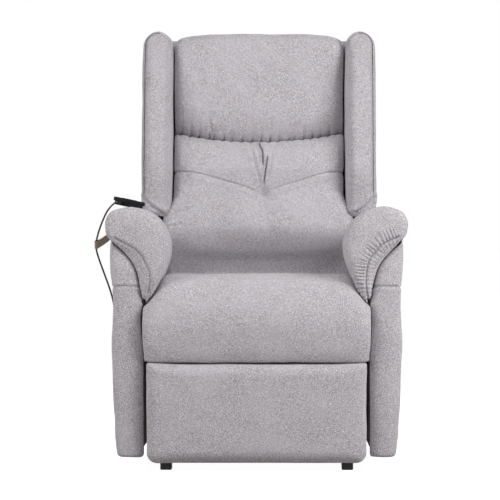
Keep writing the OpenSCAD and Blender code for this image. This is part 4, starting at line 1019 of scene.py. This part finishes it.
def make_lumbar():
    def half_at(t):
        return mix(LUMBAR_HW, HEAD_HW, float(smooth((mix(LUMBAR_V0, SEAM_V, t) - 255) / 80))) - 1.2

    def low_at(x):
        return np.full_like(x, LUMBAR_V0)

    def high_at(x):
        return seam_at(x) - 2.0

    def face_at(x, t):
        v = mix(low_at(x), high_at(x), t)
        full = 66 + 15 * bell(v - 275, 85) + 11 * bell(v - 432, 55)
        crown = 10 * (1 - np.minimum(1, np.abs(x) / 250) ** 2)
        top = draw_in(high_at(x) - v, 62) * 0.92
        low = draw_in(v - low_at(x), 40) * 0.3 + 72 * (1 - smooth((v - 112) / 142)) - 50 * bell(v - 118, 13)
        return -(full + crown) + top + low

    (tuft,), vee = on_back([TUFT]), on_back(VEE)
    vee_right = [(2 * tuft[0] - a, b + (1.5 if i < 4 else 0)) for i, (a, b) in enumerate(vee)]

    def depth(p):
        x, u, v = to_lean(p)
        front = smooth((10 - u) / 30)
        dx, dv = x - tuft[0], v - tuft[1]
        out = 1.1 * wobble(p, 85, 61) + 0.5 * wobble(p, 32, 62)
        # the tuft and the soft hollow round it
        out += (-13 * bell(np.hypot(dx, dv), 15) - 8 * bell(np.hypot(dx * 0.7, dv), 46)) * front
        # a shallow valley below the tuft, two full lobes beside it
        out += -4.0 * bell(dx, 20 + 0.1 * np.abs(dv)) * smooth(-dv / 30) * (1 - smooth((-dv - 60) / 80)) * front
        out += 5.0 * bell(np.abs(dx) - 66, 44) * bell(dv + 62, 64) * front
        out += 3.0 * bell(np.abs(dx) - 70, 60) * bell(dv - 66, 46) * front
        for line in (vee, vee_right):
            place, off, total = along(line, x, v)
            fade = 1 - 0.35 * smooth((place - total + 40) / 40)
            out += (-4.4 * bell(off, 2.3) - 2.0 * bell(off, 12)) * front * fade
        # the right-hand foot sinks in
        out += -9.0 * bell(x - 195, 62) * bell(v - 150, 46) * front
        for points, deep, wide in CREASES:
            place, off, total = along(on_back(points), x, v)
            fade = smooth(place / 10 + 0.45) * smooth((total - place) / 22 + 0.25)
            out += (-deep * bell(off, wide) + 0.3 * deep * bell(np.abs(off) - 2.6 * wide, 1.7 * wide)) * fade * front
        # gathers under the upper seam
        below, near = seam_at(x) - v, notches(x + 5)
        gather = 0.9 * smooth(near / 9) - 1.3 * bell(near, 3.0)
        out += gather * bell(below - 4, 13) * smooth((HEAD_HW - np.abs(x)) / 14)
        for points, deep in WRINKLES:
            place, off, total = along(on_back(points), x, v)
            fade = smooth((total - place) / 18 + 0.2)
            out += (-deep * bell(off, 5) + 0.5 * deep * bell(off - 10, 7)) * fade * front
        return out

    c = 1 - np.cos(np.linspace(0, math.pi / 2, 40))
    ts = np.unique(np.concatenate([0.1 * c, np.linspace(0.1, 0.84, 210), 1 - 0.16 * c]))
    cushion = back_cushion("lumbar_cushion_soft", ts, half_at, face_at, low_at, high_at, side_r=24.0,
                           fine=np.linspace(-0.12, 0.12, 50), tail=44.0)
    cushion = press(plump(cushion, room_lean(200, LUMBAR_V0 + 30, 440), cap=8.0), depth)
    finish(cushion, "backrest", "lumbar_cushion")
    for k, line in enumerate((vee, vee_right), 1):
        x, v = np.array(line).T
        sewn(f"lumbar_stitches_{k}", cushion, "backrest", resample(leaning(x, 0.0, v), 60)[2:-3], (0, 1, 0),
             pitch=4.6, length=3.0, thick=0.7)


# Wings: the inner side, width and height of each
WING_X, WING_W, WING_LOW, WING_HIGH = 227.2, 80.4, 299.0, 793.0
# Small pleats that run inwards from the piping near the top: (height in the picture, depth, length)
WING_PLEATS = {
    -1: ((54, 2.6, 26), (57.5, 1.0, 13), (69.5, 2.0, 18), (74.5, 2.4, 17), (80, 1.2, 12)),
    1: ((45, 1.3, 30), (48, 1.7, 36), (51.5, 2.0, 34), (55, 2.0, 30), (59, 2.4, 28), (62.5, 1.8, 26),
        (66, 2.2, 24), (70, 2.2, 22), (74, 1.4, 16), (79, 1.0, 12))}
# The slope of those pleats and the depth of the folds at the foot
WING_FOLDS = {-1: (-0.08, 2.2), 1: (0.42, 3.0)}


def wing_front(v):
    return -92 - 46 * smooth((v - 290) / 150) + 40 * smooth((v - 660) / 140)


def wing_rise(u, v, limit=False):
    """How far a level of the wing rises from its middle to u: level in the room at its foot, less so above."""
    t = (v - WING_LOW) / (WING_HIGH - WING_LOW)
    return u * mix(math.tan(LEAN), 0.12, np.clip(t, 0, 1) if limit else t)


def make_wing(side, label):
    n, mid, r_top = 380, WING_X + WING_W / 2, WING_W / 2
    centre_v = WING_HIGH - r_top
    q = np.linspace(0, math.pi / 2, 30)
    a = np.linspace(0, 2 * math.pi, n, endpoint=False)
    c, s = np.cos(a), np.sin(a)
    rings = []
    for v in np.unique(np.concatenate([WING_LOW + 30 * (1 - np.cos(q)), np.linspace(WING_LOW + 30, centre_v, 240),
                                       WING_HIGH - r_top * (1 - np.sin(q))])):
        top = max(0.0, v - centre_v) / r_top
        low = max(0.0, 1 - (v - WING_LOW) / 17)
        w = r_top * math.sqrt(max(0.0004, 1 - top ** 2)) * (1 - 0.3 * low ** 2)
        pull = 30 * (1 - math.sqrt(max(0, 1 - top ** 2))) + 17 * low ** 2
        f, b = wing_front(v) + pull, 65.8 - 0.8 * pull
        # rounder at the front than at the back
        x = w * spow(c, np.where(s > 0, 0.3, 0.55))
        u = (f + b) / 2 + (b - f) / 2 * spow(s, np.where(s > 0, 0.3, 0.62))
        x = x * (1 - 0.05 * smooth((f + 40 - u) / 40))
        ring = np.stack([mid + x, u, v + wing_rise(u, v)], 1)
        rings.append(spaced(np.vstack([ring, ring[:1]]), n, endpoint=False))

    def depth(p):
        x, u, v = to_lean(p)
        x, v0 = np.abs(x), v - wing_rise(u, v, limit=True)
        front = smooth((-52 - u) / 30)
        out = 0.9 * wobble(p, 75, 71 + side) + 0.35 * wobble(p, 28, 73 + side)
        # the piping's groove, at a distance inwards from the front view's outline
        inwards = np.where(v0 > centre_v, r_top - np.hypot(x - mid, v0 - centre_v), r_top - (x - mid))
        groove = -8.0 * bell(inwards - 8.0, 1.6) + 2.0 * bell(inwards - 3.2, 3.2) + 1.6 * bell(inwards - 13.5, 4.5)
        out += groove * front
        slope, deep_foot = WING_FOLDS[side]
        for py, deep, size in WING_PLEATS[side]:
            line = v0 - (on_back([(150, py)], -110)[0][1] + slope * (inwards - 8))
            fade = smooth((inwards - 7) / 3) * (1 - smooth((inwards - 8 - size * 0.4) / (size * 0.6)))
            out += -1.25 * deep * bell(line, 2.0) * fade * front
        # the diagonal fold at the foot, and pleats across it
        off = along([(mid + 32, 345), (mid + 12, 322), (mid - 14, 306)], x, v0)[1]
        out += (-5.5 * bell(off, 3.6) + 2.4 * bell(np.abs(off) - 9, 6)) * smooth((-20 - u) / 40)
        for k in range(5):
            pleat = (mid + 35 - 9 * k, 331 - 5 * k), (mid + 25 - 8.5 * k, 304 - 2 * k)
            out += furrow(pleat, x, v0, deep_foot, 2.2) * front
        return out

    wing = press(skin(f"wing_{label}_soft", lean_rings(np.array(rings), side)), depth)
    finish(wing, "backrest", f"wing_{label}")
    # the piping in its groove, up the outer edge and over the top, in a dark yarn that is partly the piping's
    # stitches and partly painted shade of the groove
    arc, r = np.linspace(0, 1.75, 50), r_top - 7.6
    x = np.concatenate([np.full(120, mid + r), mid + r * np.cos(arc)])
    v = np.concatenate([np.linspace(WING_LOW + 52, centre_v, 120, endpoint=False), centre_v + r * np.sin(arc)])
    u = wing_front(v)
    sewn(f"wing_{label}_piping", wing, "backrest", leaning(side * x, u, v + wing_rise(u, v)), (0, 1, 0), yarn=PIPING_SHADE_YARN,
         pitch=3.6, length=4.4, thick=1.7, sink=0.1)


# Back cover: half its width below and above the arms, its lower and upper edge, its crosswise seam
COVER_LOW, COVER_HIGH, COVER_FOOT, COVER_TOP, COVER_SEAM = HALF - 8, HALF + 28, -45.0, 799.0, 318
# How it wraps forwards round the frame, as (mm drawn in, u)
COVER_WRAP = ((2.3, 104.2), (2.3, 86), (2.3, 68.5), (1.9, 67.3), (1.1, 66.8), (0.3, 67.4), (0, 69), (0, 76), (0, 86),
              (0, 96), (0, 103), (0, 106.4))
COVER_DRAGS = ((-180, 60), (-120, 10)), ((150, 80), (100, 20)), ((-60, 300), (-40, 230)), ((200, 300), (170, 240))
# The section of the flap that closes the recess above the head cushion, [u, v], and the share of its
# sag that each point takes
FLAP = np.array([(66.6, 797), (65.6, 795.5), (65.0, 790), (64.6, 780), (64.4, 764), (65.8, 764), (66.2, 780),
                 (66.8, 790), (67.6, 796.0)])
FLAP_SAG = np.array([0, 0, 0.6, 1, 1, 1, 1, 0.6, 0])


def make_back_cover():
    """The upholstered rear panel: thin padding over the frame, with a piped edge and centre seam."""
    low, high, top, foot = COVER_LOW, COVER_HIGH, COVER_TOP, COVER_FOOT
    outline = [
        (0, foot), (low - 14, foot), (low - 3, foot + 4), (low, foot + 16), (low, 120), (low, 300), (high, 322),
        (high, 500), (high, 700), (high, top - 26), (high - 6, top - 12), (high - 20, top - 1), (high - 60, top),
        (0, top)]
    right = []
    for p, q in zip(outline[:-1], outline[1:]):
        k = max(2, int(np.hypot(q[0] - p[0], q[1] - p[1]) / 6))
        right += [(p[0] + (q[0] - p[0]) * t, p[1] + (q[1] - p[1]) * t) for t in np.linspace(0, 1, k, endpoint=False)]
    right = np.array(right + outline[-1:])
    loop = np.vstack([right, (right[::-1] * [-1, 1])[1:-1]])
    x, v = loop.T
    # above the arms the cover wraps forwards round the sides and the top of the frame
    wall, crest = smooth((v - 205) / 30), smooth((v - 780) / 12)
    inwards = np.stack([-np.sign(x) * smooth((np.abs(x) - 200) / 60), -crest], 1)
    rings = []
    for inset, u in COVER_WRAP:
        a, b = (loop + inwards * inset).T
        drop = -3.5 * crest * (104 - min(u, 104)) / 37
        rings.append(np.stack([a, mix(max(u, 104.2), float(u), wall), b + drop], 1))
    for w in np.linspace(0, 1, 60)[1:]:
        shape = mix(loop, np.stack([x * 0.04, 360 + (v - 360) * 0.04], 1), w)
        puff = 108.6 + 5.5 * (1 - np.exp(-np.linalg.norm(loop - shape, axis=1) / 22))
        rings.append(np.stack([shape[:, 0], puff, shape[:, 1]], 1))

    def depth(p):
        x, u, v = to_lean(p)
        out = 1.0 * wobble(p, 120, 81) + 0.5 * wobble(p, 40, 82)
        out += -1.6 * bell(v - COVER_SEAM, 2.4)
        out += -1.2 * bell(x, 2.0) * smooth((COVER_SEAM - v) / 8)
        for line in COVER_DRAGS:
            out -= furrow(line, x, v, 1.2, 12)
        edge = np.abs(x) - mix(low, high, smooth((v - 300) / 22))
        return (out - 1.4 * bell(edge + 10, 2.4)) * smooth((u - 106) / 3)

    cover = press(skin("back_cover_fabric", lean_rings(np.array(rings))), depth)
    finish(cover, "backrest", "back_cover")
    xs = np.linspace(-262, 262, 130)[:, None]
    sag = 0.5 * np.sin(xs / 23.0) + 0.3 * np.sin(xs / 9.0)
    flap = skin("back_cover_flap", leaning(xs, FLAP[:, 0] + sag * FLAP_SAG, FLAP[:, 1]))
    flap.data.materials.append(UPHOLSTERY)
    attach(flap, "backrest")
    path = leaning(np.linspace(12 - low, low - 12, 80), 104.0, 322.0)
    sewn("back_cover_stitches", cover, "backrest", path, (0, -1, 0), pitch=5.0, length=3.2, thick=0.7)


def make_valance():
    """The cloth panel between the arms' rear ends, hemmed below, stapled above."""
    w, z0, z1 = HALF - 0.6, 40.0, 238.0
    zs = np.concatenate([z0 + np.array([0, 1.2, 2.5, 5]), np.linspace(z0 + 9, z1 - 4, 60), [z1 - 1.5, z1]])
    X, Z = np.meshgrid(np.linspace(-w, w, 150), zs)
    sag = 1.6 * np.sin(X / 44.0 + 0.5) * (1 - smooth((Z - z0) / 190)) + 0.8 * np.sin(X / 17.0 + Z / 60)
    sag *= smooth((w - np.abs(X)) / 40)
    hem = 1.0 * bell(Z - z0 - 9, 5) - 1.2 * bell(Z - z0 - 18, 1.6)
    front = np.stack([X, np.full_like(X, 247.4), Z], -1)
    rear = np.stack([X, 250.2 + sag * 0.8 + hem, Z], -1)
    valance = skin("rear_valance_fabric", np.concatenate([front, rear[:, ::-1]], 1))
    finish(valance, "chassis", "rear_valance")


make_seat()
make_footrest()
for side, label in ((-1, "left"), (1, "right")):
    make_arm_pad(side, label)
    make_arm_panel(side, label)
    make_wing(side, label)
make_head()
make_lumbar()
make_back_cover()
make_valance()


# --- finishes of the CAD nodes

# The boards that show between the cushions are wrapped in dark lining cloth
LINED = ("arm_board_left", "arm_board_right", "back_stiles", "back_rails", "wing_posts")

for node_name, node in NODES.items():
    for slot in node.material_slots:
        slot.material = LINING if node_name in LINED else FINISH[slot.material.name.split(".")[0]]


# --- stage and light

def make_stage():
    """A pale floor and world that the camera sees as white, with the object's shadow kept."""
    size, grey = 400.0, (0.45, 0.44, 0.44, 1)
    mesh = bpy.data.meshes.new("floor")
    mesh.from_pydata([(-size, -size, 0), (size, -size, 0), (size, size, 0), (-size, size, 0)], [], [(0, 1, 2, 3)])
    floor = collection(bpy.data.objects.new("floor", mesh))
    m = material("floor_white")
    shade = m.blend(grey, tuple(c * 0.985 for c in grey[:3]) + (1,), m.noise(500))
    base = m.add("BsdfDiffuse", Color=shade)
    glow = m.add("Emission", Color=(1, 1, 1, 1), Strength=m.math("MULTIPLY", m.seen(), 0.965))
    floor.data.materials.append(m.close(m.add("AddShader", i0=base.outputs[0], i1=glow.outputs[0])))
    w = Nodes(bpy.data.worlds.new("studio"), "World")
    fill = w.add("Background", Color=(1.0, 0.955, 0.95, 1), Strength=0.085)
    white = w.add("Background", Color=(1, 1, 1, 1), Strength=1.0)
    bpy.context.scene.world = w.close(w.add("MixShader", i0=w.seen(), i1=fill.outputs[0], i2=white.outputs[0]))


def lamp(name, at, aim, size, watts, colour):
    data = bpy.data.lights.new(name, "AREA")
    data.shape, data.size, data.size_y = "RECTANGLE", size[0], size[1]
    data.energy, data.color = watts, colour
    obj = collection(bpy.data.objects.new(name, data))
    obj.location = at
    obj.rotation_euler = (Vector(aim) - Vector(at)).to_track_quat("-Z", "Y").to_euler()


make_stage()
lamp("softbox_right", (2.0, -1.6, 1.5), (0, 0, 0.6), (1.2, 1.4), 52, (1.0, 0.99, 0.99))
lamp("softbox_left", (-2.0, -1.6, 1.5), (0, 0, 0.6), (1.2, 1.4), 31.5, (1.0, 0.99, 0.99))
lamp("softbox_front", (0.0, -1.2, 1.7), (0, -0.3, 0.4), (1.6, 0.9), 5, (0.985, 0.99, 1.0))
lamp("softbox_rear", (-0.9, 3.4, 2.3), (0, 0, 0.6), (2.4, 1.6), 62, (1.0, 0.99, 0.99))
lamp("softbox_top", (0.0, -0.1, 2.7), (0, -0.1, 0.5), (1.6, 1.2), 5, (0.985, 0.99, 1.0))
